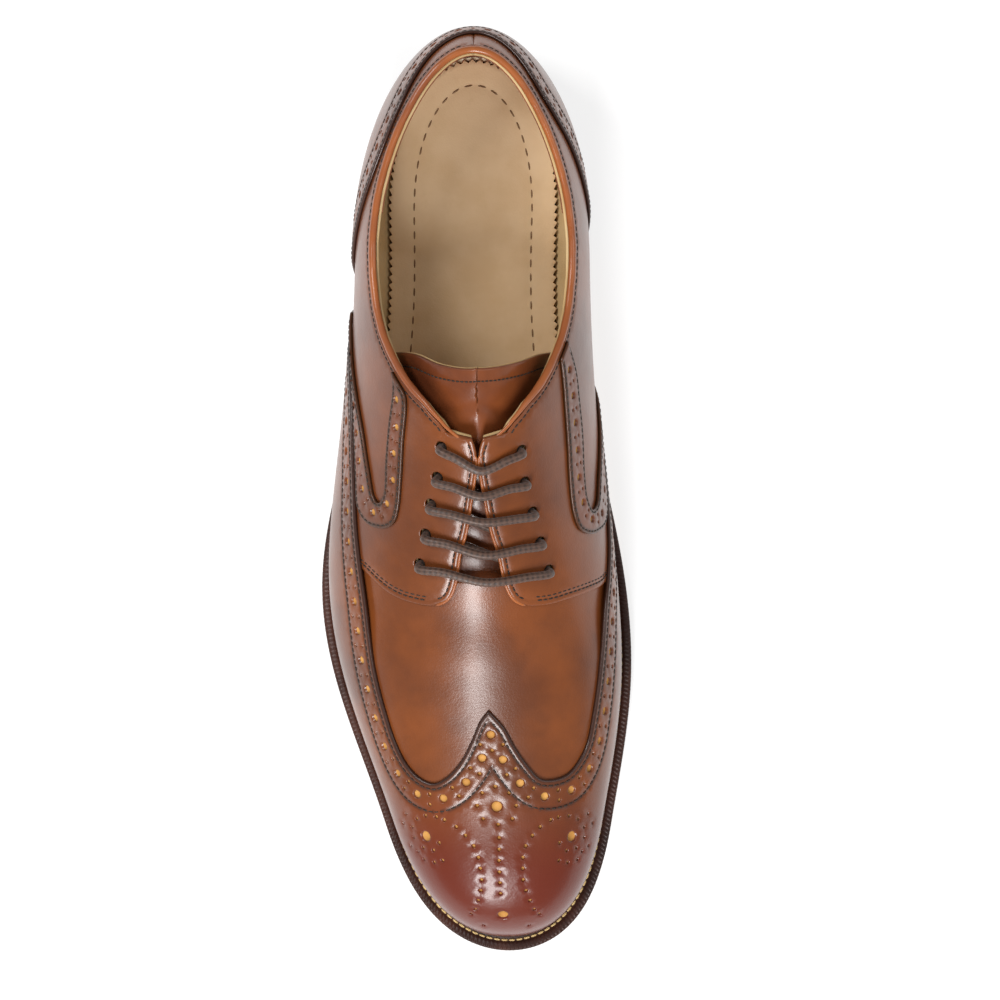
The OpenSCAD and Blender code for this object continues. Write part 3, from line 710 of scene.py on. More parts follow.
def stacked_leather(name):
    """Stained heel leather; its layers lie flat, a few to the lift."""
    g = Graph(name, Coat_Weight=0.2, Coat_Roughness=0.25, Specular_IOR_Level=0.35)
    wobble = g.math("MULTIPLY", g.noise(60.0), 0.0012)
    level = g.math("ADD", g.axis("Z"), wobble)
    layers = g.math("PINGPONG", level, 0.00125)
    line = g.share(layers, 0.00025, 0.0)
    stain = g.noise(70.0, 4.0, 0.6, g.mapped((1, 1, 5)))
    base = g.mix(g.share(stain, 0.3, 0.75), "#5a2f1e", "#2f1710")
    g.set("Base Color", g.mix(g.math("MULTIPLY", line, 0.7), base, "#170c08"))
    g.set("Roughness", g.share(g.noise(300.0), -1.0, 2.2))
    g.bump([(line, 0.0002, -0.5), (g.noise(700.0), 0.0001, 0.25)])
    return g.material


def rubber(name):
    """Dark heel rubber with a fine speckle."""
    g = Graph(name, Specular_IOR_Level=0.3)
    g.set("Base Color", g.mix(g.noise(200.0), "#241d1a", "#15110f"))
    g.set("Roughness", g.share(g.noise(500.0), -1.8, 1.4))
    g.bump([(g.noise(1500.0), 0.00015, 0.35), (g.cells(260.0), 0.0002, 0.12)])
    return g.material


def granular(name, light, dark, scale):
    """Cork, foam and woven stiffener, which stay out of sight inside the shoe."""
    g = Graph(name, Specular_IOR_Level=0.2)
    g.set("Base Color", g.mix(g.share(g.cells(scale), 0.1, 0.7), light, dark))
    g.set("Roughness", g.share(g.noise(scale), -2.0, 1.2))
    g.bump([(g.cells(scale), 0.0004, 0.5)])
    return g.material


def metal(name, light, dark):
    """Brushed metal, its brush marks running along the shoe."""
    g = Graph(name, Metallic=1.0)
    brushed = g.noise(300.0, 3.0, 0.6, g.mapped((1, 0.08, 1)))
    g.set("Base Color", g.mix(brushed, light, dark))
    g.set("Roughness", g.share(brushed, -1.0, 2.0))
    g.bump([(brushed, 0.0001, 0.2)])
    return g.material


def woven_cord(name):
    """Waxed round lace; its strands are in the mesh, this adds fibres, wax and painted shade: darker
    where the strands dip, lighter on their crowns.
    """
    g = Graph(name, Coat_Weight=0.12, Coat_Roughness=0.35, Sheen_Weight=0.15,
              Specular_IOR_Level=0.35)
    strand = g.attribute("strand")
    fibre = g.noise(1400.0, 3.0, 0.7)
    # painted shade: the colour follows the braid's relief, dark in its grooves and lighter on the
    # strands' crowns
    base = g.mix(g.share(strand, 0.0, 0.75), "#2a1d18", "#513a2f")
    base = g.mix(g.math("MULTIPLY", g.share(fibre, 0.45, 0.8), 0.4), base, "#6f5646")
    g.set("Base Color", base)
    g.set("Roughness", g.share(fibre, -0.7, 1.7))
    g.bump([(fibre, 0.0001, 0.4)])
    return g.material


def floor_material():
    """A white studio floor that glows a little, so that the backdrop stays even."""
    g = Graph("studio_white", Roughness=0.9, Specular_IOR_Level=0.1)
    g.set("Base Color", g.mix(g.noise(4.0), "#a4a4a4", "#a0a0a0"))
    g.set("Emission Color", g.mix(g.noise(4.0), "#ffffff", "#fdfdfd"))
    g.set("Emission Strength", 0.74)
    return g.material


TAN = "#783f1b"
DEEP = "#5c2f16"
LOOK = {
    "vamp": upper_leather("calf_vamp", TAN, DEEP, "#4a2817"),
    "wing": upper_leather("calf_wing", TAN, DEEP, "#301b14", "#5e2110", edge_mm=1.7, seam_dark=0.7),
    "quarter": upper_leather("calf_quarter", TAN, DEEP, "#5a3019", seam_dark=0.45),
    "band": upper_leather("calf_band", "#6f3b22", DEEP, "#35200f", edge_mm=0.7, seam_dark=0.7),
    "foxing": upper_leather("calf_foxing", TAN, DEEP, "#301b14", edge_mm=1.4, seam_dark=0.7),
    "tongue": upper_leather("calf_tongue", "#7a401f", "#582b17", "#4a2817"),
    "bead": upper_leather("calf_bead", "#9c5729", "#804423", "#5a3018", gloss=0.28),
    "underlay": raw_leather("perforation_underlay", "#c9954f", "#a97537", 0.6),
    "lining": raw_leather("calf_lining", "#cdb183", "#bd9c6b", 0.55),
    # brown heel lining: partly its own colour, partly painted shade inside the heel
    "heel_lining_and_shade": raw_leather("heel_lining_and_shade", "#8a5238", "#6d3d28", 0.6),
    "sock": raw_leather("sock_leather", "#dcbe96", "#cfae84", 0.5),
    "thread": thread_material("dark_thread", "#3c3029", "#1e1612"),
    "pale_thread": thread_material("welt_thread", "#d8bc84", "#a98a55"),
    "sock_thread": thread_material("sock_thread", "#8a6a4a", "#6a4e36"),
    "welt": raw_leather("welt_leather", "#4a2a20", "#2c1813", 0.42),
    "sole": raw_leather("sole_leather", "#b98a5a", "#a2754a", 0.5, 160.0),
    "sole_edge": raw_leather("sole_edge", "#432419", "#2a1610", 0.4, 160.0, 0.2),
    "heel": stacked_leather("stacked_leather"),
    "rubber": rubber("heel_rubber"),
    "cork": granular("cork", "#b98d5b", "#7c5833", 600.0),
    "foam": granular("foam", "#e7dcc4", "#cdbf9f", 900.0),
    "insole": raw_leather("insole_leather", "#cfae7d", "#bb9564"),
    "stiffener": granular("stiffener_cloth", "#cfc09a", "#ab9a74", 1200.0),
    "steel": metal("steel", "#a5a8ab", "#7d8083"),
    "lace": woven_cord("waxed_lace"),
    "tip": upper_leather("lace_tip", "#3a2a24", "#241a16", "#15100d", gloss=0.22),
}


# ------------------------------------------------------- seams and holes
def inset_line(line, distance, outline, where=same):
    """The line moved inwards, without the stretches where it would meet another edge."""
    moved = side_of(line, distance, where)
    edge = surface(where(midpoints(outline)))
    keep = distances(surface(where(moved)), edge) > 0.96 * abs(distance)
    first, last = np.argmax(keep), len(keep) - np.argmax(keep[::-1])
    return moved[first:last]


def nearest_length(line, target):
    """How far along a line of places its point nearest to a target place is."""
    p = surface(line)
    return path_lengths(p)[np.argmin(np.linalg.norm(p - surface(target), axis=1))]


def hole_row(line, start, pitch, big, small, spread, end_room=5.0, where=same):
    """Big holes along a line, each followed by two small ones side by side."""
    s = lengths(where(line))
    sides = [side_of(line, distance, where) for distance in (spread, -spread)]
    holes = []
    t = start
    while t < s[-1] - end_room:
        holes.append((*at_lengths(line, s, t), big))
        half = t + pitch / 2
        if half < s[-1] - end_room:
            holes += [(*at_lengths(moved, s, half), small) for moved in sides]
        t += pitch
    return holes


STITCH_PITCH = 2.1
STITCH_LENGTH = 1.7
STITCH_RADIUS = 0.27
STITCH_SUNK = 0.02      # depth of a stitch's middle below the leather's face
# rings of one stitch: place along it, from -1 to 1, and share of the full radius
STITCH_RINGS = [(-0.88, 0.62), (-0.45, 1.0), (0.45, 1.0), (0.88, 0.62)]
STITCH_SIDES = 6


def stitch_template():
    """The points of one stitch and the faces between them."""
    points, faces = [(-1.0, 0.0, 0.0)], []
    for s, r in STITCH_RINGS:
        for k in range(STITCH_SIDES):
            t = 2 * math.pi * k / STITCH_SIDES
            points.append((s, r * math.cos(t), r * math.sin(t)))
    points.append((1.0, 0.0, 0.0))
    starts = [1 + i * STITCH_SIDES for i in range(len(STITCH_RINGS))]
    for k in range(STITCH_SIDES):
        n = (k + 1) % STITCH_SIDES
        faces.append((0, 1 + n, 1 + k))
        faces += [(a + k, a + n, b + n, b + k) for a, b in zip(starts, starts[1:])]
        faces.append((starts[-1] + k, starts[-1] + n, len(points) - 1))
    return np.array(points), faces


def stitch_mesh(name, starts, ends, normals, radius, material, body="shoe", slot="lace_cord"):
    """Stitches as small rounded rods from starts to ends, which dip at both ends."""
    template, template_faces = stitch_template()
    centre, half = (starts + ends) / 2, (ends - starts) / 2
    forward = half / np.linalg.norm(half, axis=1, keepdims=True)
    across = np.cross(normals, forward)
    across = across / np.linalg.norm(across, axis=1, keepdims=True)
    up = np.cross(forward, across)
    s, y, z = template[:, 0], template[:, 1] * radius, template[:, 2] * radius
    z = z + 0.35 * radius * (1 - s ** 4) - 0.5 * radius
    verts = (centre[:, None] + half[:, None] * s[None, :, None]
             + across[:, None] * y[None, :, None] + up[:, None] * z[None, :, None])
    bases = range(0, len(starts) * len(template), len(template))
    faces = [tuple(base + i for i in face) for base in bases for face in template_faces]
    return finish_piece(new_mesh(name, verts.reshape(-1, 3), faces, [material]), body, slot)


def flat_stitches(name, places, inset, plan, z, share, radius, look):
    """A row of stitches that lie flat along a plan outline, each a share of its pitch."""
    line = over_feather(plan_loop(places, inset, plan), z)
    ahead = np.roll(line, -1, axis=0)
    starts, ends = (line + (ahead - line) * s for s in share)
    stitch_mesh(name, starts, ends, np.tile([0.0, 0, 1.0], (len(line), 1)), radius, LOOK[look])


def sew(name, lines, depth, where=same, body="shoe", lift=None, slot="upper_leather"):
    """A row of stitches along each line of places, on leather whose face is at a depth."""
    starts, ends, normals = [], [], []
    for line in lines:
        s = lengths(where(line))
        count = int((s[-1] - 0.6 * STITCH_PITCH) / STITCH_PITCH)
        first = (s[-1] - count * STITCH_PITCH) / 2 + STITCH_PITCH / 2
        middle = first + STITCH_PITCH * np.arange(count)
        for offset, rows in ((-STITCH_LENGTH / 2, starts), (STITCH_LENGTH / 2, ends)):
            q = where(at_lengths(line, s, middle + offset))
            rows.append(surface_at(q, depth + STITCH_SUNK + (lift(q) if lift else 0.0)))
        normals.append(outward(where(at_lengths(line, s, middle))))
    starts, ends, normals = (np.concatenate(rows) for rows in (starts, ends, normals))
    stitch_mesh(name, starts, ends, normals, STITCH_RADIUS, LOOK["thread"], body, slot)


def finish_piece(obj, body, slot, *nodes):
    """Puts a piece on the body it rides on and hides the CAD nodes it stands for; slot is not used.
    """
    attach(obj, body)
    if nodes:
        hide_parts(*nodes)
    return obj


# ------------------------------------------------------------------ layers
# Depths of the leather layers below the outer surface
OVERLAY = 0.1           # wing, foxing and facing bands
OVERLAY_T = 1.15
BASE = 1.3              # vamp in front, and the quarters
BASE_T = 1.1
LAP = 2.45              # the vamp where it runs under the quarters
LINING = 3.9
LINING_T = 0.8
TONGUE = 8.7
TONGUE_T = 1.1


def signed(points, side):
    """Pattern points moved to their own side of the ridge."""
    return [(y, side * v) for y, v in points]


# Patterns as (y, v) points, both sides drawn with v above 0
SLIT = [(-38.4, 0.178), (-36.6, 0.126), (-32, 0.1), (-22, 0.082), (-14.5, 0.058), (-4.6, 0.038),
        (3, 0.02), (9, 0.01), (12, 0.021), (14.5, 0.04)]
TAB = {-1: [(-38.4, 0.178), (-38.2, 0.21), (-37.5, 0.25), (-36.4, 0.295), (-34.2, 0.35),
            (-31.7, 0.394), (-27, 0.468), (-23, 0.56), (-18, 0.69), (-13, 0.83), (-8, 1)],
       1: [(-38.4, 0.178), (-38.2, 0.233), (-37.4, 0.29), (-36, 0.355), (-34, 0.46), (-31.5, 0.585),
           (-27, 0.7), (-20, 0.83), (-11, 1)]}
WING_EDGE = {-1: [(-72, 0), (-75.5, 0.03), (-82.5, 0.07), (-89, 0.12), (-94, 0.19), (-96, 0.26),
                  (-94.3, 0.33), (-89.4, 0.39), (-82.4, 0.42), (-74.6, 0.43), (-60, 0.44),
                  (-38, 0.448), (-25, 0.475), (-12, 0.51), (1.5, 0.545), (15, 0.59), (28, 0.64),
                  (41, 0.72), (47, 0.79), (53, 0.86), (59, 0.93), (64, 1)],
             1: [(-72, 0), (-77.5, 0.045), (-84, 0.08), (-90, 0.127), (-94.2, 0.18), (-94.6, 0.245),
                 (-93, 0.32), (-89, 0.38), (-83, 0.43), (-75, 0.454), (-64, 0.483), (-54, 0.51),
                 (-38, 0.566), (-28, 0.624), (-18, 0.68), (-5, 0.735), (6, 0.76), (16, 0.81),
                 (27, 0.87), (37, 0.935), (45, 1)]}
BAND_OUTER = {-1: [(28, 0.326), (14, 0.322), (1.4, 0.316), (-7, 0.317), (-11.4, 0.33), (-13, 0.36),
                   (-13, 0.395), (-11.5, 0.45), (-6, 0.51), (3, 0.537), (15, 0.575), (28, 0.625),
                   (40, 0.695), (50, 0.77), (58, 0.85)],
              1: [(34, 0.433), (25, 0.432), (14.5, 0.427), (2, 0.415), (-8, 0.416), (-13.2, 0.438),
                  (-15, 0.495), (-14, 0.57), (-11, 0.65), (-4, 0.71), (6, 0.735), (16, 0.79),
                  (26, 0.85), (34, 0.91)]}
BAND_INNER = {-1: [(31, 0.383), (19.5, 0.39), (8, 0.388), (-1.5, 0.381), (-4.6, 0.392),
                   (-5, 0.408), (-3, 0.43), (5.4, 0.468), (18, 0.527), (29, 0.595), (38, 0.658),
                   (48, 0.73), (57, 0.81)],
              1: [(37, 0.513), (29, 0.52), (18, 0.522), (5, 0.506), (-3.4, 0.506), (-7, 0.53),
                  (-6.6, 0.56), (-4, 0.59), (4, 0.635), (12, 0.69), (20, 0.75), (29, 0.82),
                  (36, 0.88)]}
FOXING_EDGE = {-1: [(60, 1), (66, 0.9), (75, 0.78), (86.7, 0.675), (99.7, 0.584), (109, 0.544),
                    (120, 0.526), (129, 0.53)],
               1: [(68, 1), (78, 0.9), (90.7, 0.8), (102.6, 0.684), (111, 0.62), (118, 0.565),
                   (127, 0.53)]}
TONGUE_TOP = [(43, -0.55), (41, -0.4), (36.5, -0.27), (34, -0.14), (33.5, 0), (34.7, 0.16),
              (37.7, 0.31), (41.5, 0.45), (43, 0.55)]
# The collar's edge as (y, z) in the last's own frame
COLLAR_Z = [(14.5, 92.2), (17, 93.1), (20, 93.2), (26, 91.5), (33, 87), (42, 82), (48, 78.5),
            (57, 75), (68, 73), (78, 73), (93, 75.5), (107, 79.5), (121, 83.5), (133, 85.5),
            (142, 86)]
NEAR_RIDGE_V = 0.004    # the collar's lines come no nearer to the ridge
EYELETS = {-1: [(-25, 0.228), (-15.5, 0.211), (-6, 0.198), (2.5, 0.179), (12, 0.171)],
           1: [(-27, 0.275), (-18, 0.251), (-8.5, 0.232), (1, 0.212), (11, 0.211)]}
EYELET_RADIUS = 2.0


def collar(side, drop, depth):
    """A line below the collar's edge on one side, from the slit's top to the heel's back."""
    ys, zs = zip(*COLLAR_Z)
    u = np.linspace(place([(SLIT[-1][0], NEAR_RIDGE_V)])[0, 0], HEEL_END, 400)
    low, high = np.zeros(len(u)), np.full(len(u), WIDEST_V)
    for _ in range(30):
        v = (low + high) / 2
        p = on_last(y_of(u, v, depth), v, side, depth)
        above = p[:, 2] > np.interp(p[:, 1], ys, zs)
        low = np.where(above, v, low)
        high = np.where(above, high, v)
    share = look_up(SHARE_AT_V, u, np.maximum(v, NEAR_RIDGE_V), V_STEPS)
    line = resample(np.stack([u, side * share * girth(u)], -1), 1.2)
    return side_of(line, side * drop) if drop else line


def back_edge(side, top_w):
    """The heel's back seam on one side, from a given w down to the feather line."""
    w = np.linspace(abs(top_w), girth(HEEL_END), 80)
    return np.stack([np.full(len(w), HEEL_END), side * w], -1)


def vamp_sink(uw):
    """The vamp sinks below the quarters' depth before it reaches them."""
    y = y_of(uw[:, 0], v_of(uw[:, 0], uw[:, 1]))
    return (LAP - BASE) * smoothstep(y, -58, -39)


def make_vamp():
    """The vamp, in one piece from the wing cap to under the quarters."""
    flank = [(6, 1), (-4, 0.7), (-12, 0.5), (-22, 0.4), (-31, 0.3)]
    rear_left = smooth_line(signed(flank, -1), 2.0)
    rear_middle = smooth_line([(-31, -0.3), (-31, 0), (-31, 0.3)], 2.0)
    rear_right = smooth_line(flank[::-1], 2.0)
    front_u = -114.0
    right = feather(rear_right[-1, 0], front_u, 1, 2.0)
    front = resample(np.array([[front_u, girth(front_u)], [front_u, -girth(front_u)]]), 2.0)
    left = feather(front_u, rear_left[0, 0], -1, 2.0)
    outline = join_paths([rear_left, rear_middle, rear_right, right, front, left])
    piece = leather("vamp_leather", "vamp", outline, BASE, BASE_T, lift=vamp_sink, spacing=2.0)
    finish_piece(piece, "shoe", "upper_leather", "vamp")


# The medallion on the toe
FLOWER = [(-98.8, 0.046), (-103, 0.0715), (-107.3, 0.053)]
FLOWER_ENDS = [(-96.7, 0), (-109.2, 0)]
STEM = [(-113.5, 0), (-117.3, -0.003), (-121, -0.006), (-124.8, -0.008), (-128.4, -0.01),
        (-132, -0.012)]
STEM_MEDALS = [(-103.3, 0), (-139.4, -0.013)]
PEAK = [(-79.8, 0)]
PEAK_DOTS = [(-83, -0.036), (-84.9, 0), (-83, 0.036)]
SCROLL = [(-107.8, 0.238), (-110, 0.182), (-112.8, 0.143), (-116.2, 0.11), (-120, 0.096),
          (-123.6, 0.096), (-127.4, 0.1), (-131, 0.12), (-134.4, 0.155), (-137.5, 0.205),
          (-139.2, 0.27), (-143.2, 0.224)]
ROSETTE = [(-106.9, 0.28), (-106.6, 0.345), (-107.8, 0.412), (-106.3, 0.49), (-109.6, 0.55),
           (-110.6, 0.47), (-114, 0.485), (-117, 0.55), (-118.6, 0.49), (-117.3, 0.43),
           (-121.2, 0.462), (-122, 0.38), (-121.2, 0.31), (-118, 0.355), (-115.4, 0.3)]
ROSETTE_MIDDLE = [(-113.5, 0.381)]
# The punched strip along the wing's edge: from one big hole to the next, and into the wing
STRIP_PITCH = 9.8
STRIP_MIDDLE = 5.5
STRIP_WIDTH = 9.6
# Radii of the punched holes
BIG = 1.4
SMALL = 0.62
MEDAL = 1.8


def holes_at(points, radius, sides=(1,)):
    """Holes of one radius at pattern points, on each of the given sides."""
    return [(*place([(y, side * v)])[0], radius) for y, v in points for side in sides]


def make_wing():
    """The wing cap with its medallion and the punched strip along its edge."""
    edges = {side: smooth_line(signed(WING_EDGE[side], side), 1.1) for side in (-1, 1)}
    tip = TOE_END + 0.4
    left = feather(edges[-1][-1, 0], tip, -1)
    right = feather(tip, edges[1][-1, 0], 1)
    outline = join_paths([edges[-1], left, right, edges[1][::-1]])
    holes = []
    for points, radius in ((FLOWER, SMALL), (SCROLL, SMALL), (ROSETTE, SMALL * 0.92),
                           (ROSETTE_MIDDLE, MEDAL)):
        holes += holes_at(points, radius, (-1, 1))
    for points, radius in ((FLOWER_ENDS + STEM, SMALL), (STEM_MEDALS, MEDAL), (PEAK, BIG),
                           (PEAK_DOTS, SMALL)):
        holes += holes_at(points, radius)
    seams = []
    for side, edge in edges.items():
        seams += [inset_line(edge, side * width, outline) for width in (1.9, STRIP_WIDTH)]
        middle = side_of(edge, side * STRIP_MIDDLE)
        start = nearest_length(middle, place([(-87.4, side * 0.046)]))
        holes += hole_row(middle, start, STRIP_PITCH, BIG, SMALL, spread=1.75)
    piece = leather("wing_cap_leather", "wing", outline, OVERLAY, OVERLAY_T, holes, seams)
    finish_piece(piece, "shoe", "wing_leather", "wing_cap")
    sew("wing_stitching", seams, OVERLAY, slot="wing_leather")


# -------------------------------------------------------- camera and light
FLOOR_MM = 6000.0       # half the floor's width


def make_camera():
    """The camera, straight above the shoe as in the photo."""
    data = bpy.data.cameras.new("camera")
    data.sensor_width = 36.0
    data.lens = 150.2
    data.clip_start = 0.05
    data.clip_end = 10.0
    camera = bpy.data.objects.new("camera", data)
    camera.location = (0.0079, -0.0024, 1.4)
    bpy.context.scene.collection.objects.link(camera)
    bpy.context.scene.camera = camera


def make_light(name, location, target, size, power):
    """A rectangular softbox that faces a target; places and sizes in metres, power in watts."""
    data = bpy.data.lights.new(name, "AREA")
    data.shape = "RECTANGLE"
    data.size, data.size_y = size
    data.energy = power
    light = bpy.data.objects.new(name, data)
    light.location = location
    direction = Vector(target) - Vector(location)
    light.rotation_euler = direction.to_track_quat("-Z", "Y").to_euler()
    bpy.context.scene.collection.objects.link(light)


def make_studio():
    """Even white surroundings, three softboxes and the floor."""
    world = bpy.data.worlds.new("studio")
    world.use_nodes = True
    background = world.node_tree.nodes["Background"].inputs
    background["Color"].default_value = (1, 1, 1, 1)
    background["Strength"].default_value = 0.38
    bpy.context.scene.world = world
    make_light("softbox_key", (-0.66, 0.4, 1.1), (0, 0.0, 0.04), (0.3, 0.5), 8.5)
    make_light("softbox_front", (-0.16, -1.0, 0.95), (0, -0.05, 0.05), (0.24, 0.7), 18.0)
    make_light("softbox_medial", (0.8, 0.1, 0.9), (0, 0.0, 0.03), (0.3, 1.0), 2.5)
    corners = [(x * FLOOR_MM, y * FLOOR_MM, 0) for x, y in ((-1, -1), (1, -1), (1, 1), (-1, 1))]
    new_mesh("studio_floor", corners, [(0, 1, 2, 3)], [floor_material()])


# ---------------------------------------------------------------- quarters
def make_quarter(side, name):
    """One quarter, from the slit and its tab to the back seam."""
    slit = smooth_line(signed(SLIT, side), 1.1)
    top = collar(side, 1.0, BASE)
    top = top[lengths(top) > 1.0]
    tab = smooth_line(signed(TAB[side], side), 1.1)
    back = resample(back_edge(side, top[-1, 1]), 2.0)
    bottom = feather(HEEL_END, tab[-1, 0], side, 2.0)
    outline = join_paths([slit, np.concatenate([slit[-1:], top[1:]]), back, bottom, tab[::-1]])
    seams = [inset_line(line, side * distance, outline)
             for line, distance in ((slit, 1.8), (tab, -1.9), (top, 1.5), (tab, -3.1))]
    piece = leather(name + "_leather", "quarter", outline, BASE, BASE_T,
                    holes_at(EYELETS[side], EYELET_RADIUS, (side,)), seams[:3],
                    spacing=1.9, through=True)
    finish_piece(piece, "shoe", "upper_leather", name)
    sew(name + "_stitching", seams, BASE)


def make_band(side, name):
    """The punched facing band, a hooked strip that starts under the collar."""
    rim = collar(side, 1.2, OVERLAY)
    tops, edges = [], []
    for points in (BAND_OUTER[side], BAND_INNER[side]):
        line = place(signed(points, side))
        before = 1.6 * line[0] - 0.6 * line[1]
        tops.append(rim[np.argmin(np.linalg.norm(rim - before, axis=1))])
        edges.append(resample(curve_through(np.concatenate([tops[-1:], line])), 1.1))
    outer, inner = edges
    tail = resample(np.array([outer[-1], inner[-1]]), 1.1)
    a, b = sorted(top[0] for top in tops)
    head = rim[(rim[:, 0] > a) & (rim[:, 0] < b)]
    if abs(head[0, 0] - tops[1][0]) > abs(head[-1, 0] - tops[1][0]):
        head = head[::-1]
    head = np.concatenate([tops[1:], head, tops[:1]])
    outline = join_paths([outer, tail, inner[::-1], head])
    seams = [inset_line(outer, -side * 0.9, outline), inset_line(inner, side * 0.9, outline)]
    middle = (resample(outer, 1, count=90) + resample(inner, 1, count=90)) / 2
    middle = resample(curve_through(middle[::9]), 1.0)
    holes = hole_row(middle, start=7.0, pitch=9.1, big=1.25, small=0.5, spread=1.25)
    piece = leather(name + "_leather", "band", outline, OVERLAY, OVERLAY_T, holes, seams,
                    spacing=1.6, edge_round=0.3)
    finish_piece(piece, "shoe", "upper_leather", name)
    sew(name + "_stitching", seams, OVERLAY)


def wrapped(line, side):
    """Rows of (distance round the heel, w) for rows of (u, w) on one side."""
    return np.stack([side * (HEEL_END - line[:, 0]), np.abs(line[:, 1])], -1)


def make_foxing():
    """The counter foxing, in one piece round the heel, with its punched strip."""
    lateral, medial = (wrapped(place(signed(FOXING_EDGE[side], side)), side) for side in (-1, 1))
    crest = [0.0, float(girth(HEEL_END)) * 0.56]
    edge = resample_wrapped(curve_through(np.concatenate([lateral, [crest], medial[::-1]])), 1.1)
    starts = {side: u_of(FOXING_EDGE[side][0][0], 1) for side in (-1, 1)}
    lateral = wrapped(feather(starts[-1], HEEL_END, -1, 1.6), -1)
    medial = wrapped(feather(HEEL_END, starts[1], 1, 1.6), 1)
    outline = join_paths([lateral, medial, edge[::-1]])
    seams = [inset_line(edge, distance, outline, unwrap) for distance in (1.1, 8.6)]
    holes = hole_row(side_of(edge, 4.9, unwrap), start=8.0, pitch=9.6, big=1.25, small=0.55,
                     spread=1.5, end_room=8.0, where=unwrap)
    piece = leather("counter_foxing_leather", "foxing", outline, OVERLAY, OVERLAY_T, holes, seams,
                    spacing=1.9, wrap=True)
    finish_piece(piece, "shoe", "upper_leather", "counter_foxing")
    sew("counter_foxing_stitching", seams, OVERLAY, where=unwrap)


# ------------------------------------------------------------ collar, lining
HEEL_GRIP_REACH = 74.0  # how far the heel lining goes round to each side


def tube(name, path, radii, look, attributes=None):
    """A closed tube along a path of points; radii has (up, across) for each ring and its sides."""
    path = np.asarray(path, float)
    n, sides = len(path), radii.shape[1]
    heading = np.gradient(path, axis=0)
    heading /= np.linalg.norm(heading, axis=1, keepdims=True)
    ups = [np.array([0.3, 0.1, 1.0])]
    for t in heading:
        a = ups[-1] - t * (ups[-1] @ t)
        ups.append(a / np.linalg.norm(a))
    ups = np.array(ups[1:])
    across = np.cross(heading, ups)
    t = np.arange(sides) * 2 * math.pi / sides
    verts = (path[:, None] + ups[:, None] * (np.cos(t)[None, :] * radii[..., 0])[..., None]
             + across[:, None] * (np.sin(t)[None, :] * radii[..., 1])[..., None]).reshape(-1, 3)
    verts = np.concatenate([verts, path[:1], path[-1:]])
    faces = []
    for a in range(0, (n - 1) * sides, sides):
        b = a + sides
        faces += [(b + k, b + j, a + j, a + k) for k, j in loop_edges(0, sides)]
    first, last, end = n * sides, n * sides + 1, (n - 1) * sides
    for k, j in loop_edges(0, sides):
        faces += [(k, j, first), (end + j, end + k, last)]
    plain = {"edge": np.full(len(verts), FAR), "seam": np.full(len(verts), FAR)}
    return new_mesh(name, verts, faces, [LOOK[look]], attributes=attributes or plain)


def make_bead():
    """The rolled edge along the collar, which runs on thinner down both edges of the slit."""
    halves, sizes = [], []
    for side in (-1, 1):
        line = collar(side, 0.0, BASE)
        slit = side_of(smooth_line(signed(SLIT, side), 1.2), -side * 0.15)
        slit = slit[slit[:, 1] * side > 0.35]
        both = np.concatenate([slit[1:-3], line[2:]])
        s = lengths(both) - lengths(both)[len(slit) - 4]
        size = 0.5 + 0.7 * smoothstep(s, 0, 22)
        halves.append(surface(both) - outward(both) * (BASE + 0.75 * size)[:, None])
        sizes.append(size)
    path, size = (np.concatenate([rows[0], rows[1][-2::-1]]) for rows in (halves, sizes))
    for _ in range(3):
        path[1:-1] = (path[:-2] + 2 * path[1:-1] + path[2:]) / 4
    size = size * (1 + 0.03 * np.sin(np.arange(len(path)) * 0.9))
    size[[0, -1]] *= 0.5
    radii = size[:, None, None] * np.array([1.0, 1.06]) * np.ones((1, 14, 1))
    piece = tube("collar_bead_leather", path, radii, "bead")
    finish_piece(piece, "shoe", "bead_leather", "collar_bead")


def make_quarter_lining(side, name):
    """The lining of one quarter, cut back a little from the slit."""
    slit = smooth_line(signed([(-34, 0.14)] + SLIT[3:], side), 1.6)
    slit = side_of(slit, side * 0.8)
    slit = slit[slit[:, 1] * side > 0.3]
    top = collar(side, 1.0, BASE)
    top = top[lengths(top) > 2.0]
    back = resample(back_edge(side, top[-1, 1]), 2.5)
    bottom = feather(HEEL_END, -34.8, side, 2.5)
    front = resample(np.array([bottom[-1], slit[0]]), 2.5)
    outline = join_paths([slit, np.concatenate([slit[-1:], top]), back, bottom, front])
    piece = leather(name + "_leather", "lining", outline, LINING - 0.2, LINING_T + 0.1,
                    holes_at(EYELETS[side], EYELET_RADIUS, (side,)), spacing=2.4, through=True)
    finish_piece(piece, "shoe", "lining_leather", name)


def make_heel_grip():
    """The suede-like heel lining, sewn over the quarter linings inside the heel; its brown is partly
    the lining's own colour and partly painted shade of the heel's inside.
    """
    tops = []
    for side in (-1, 1):
        line = wrapped(collar(side, 1.9, BASE), side)
        tops.append(line[np.abs(line[:, 0]) < HEEL_GRIP_REACH])
    top = np.concatenate([tops[0], tops[1][-2::-1]])
    w_low = girth(HEEL_END) * 0.97
    corners = [top[-1], (top[-1, 0], w_low), (top[0, 0], w_low), top[0]]
    right, low, left = (resample_wrapped(straight(a, b), 2.4) for a, b in zip(corners, corners[1:]))
    outline = join_paths([top, right, low, left])
    piece = leather("heel_grip_leather", "heel_lining_and_shade", outline, LINING + LINING_T + 0.05, 0.5,
                    spacing=2.4, wrap=True, edge_round=0.15)
    finish_piece(piece, "shoe", "lining_leather")


def straight(start, end):
    """Sixty points from one place to another."""
    return np.stack([np.linspace(a, b, 60) for a, b in zip(start, end)], -1)


def resample_wrapped(line, step):
    """A line of places given round the heel, evenly spaced on the surface."""
    s = lengths(unwrap(line))
    return at_lengths(line, s, np.linspace(0, s[-1], max(2, int(s[-1] / step))))


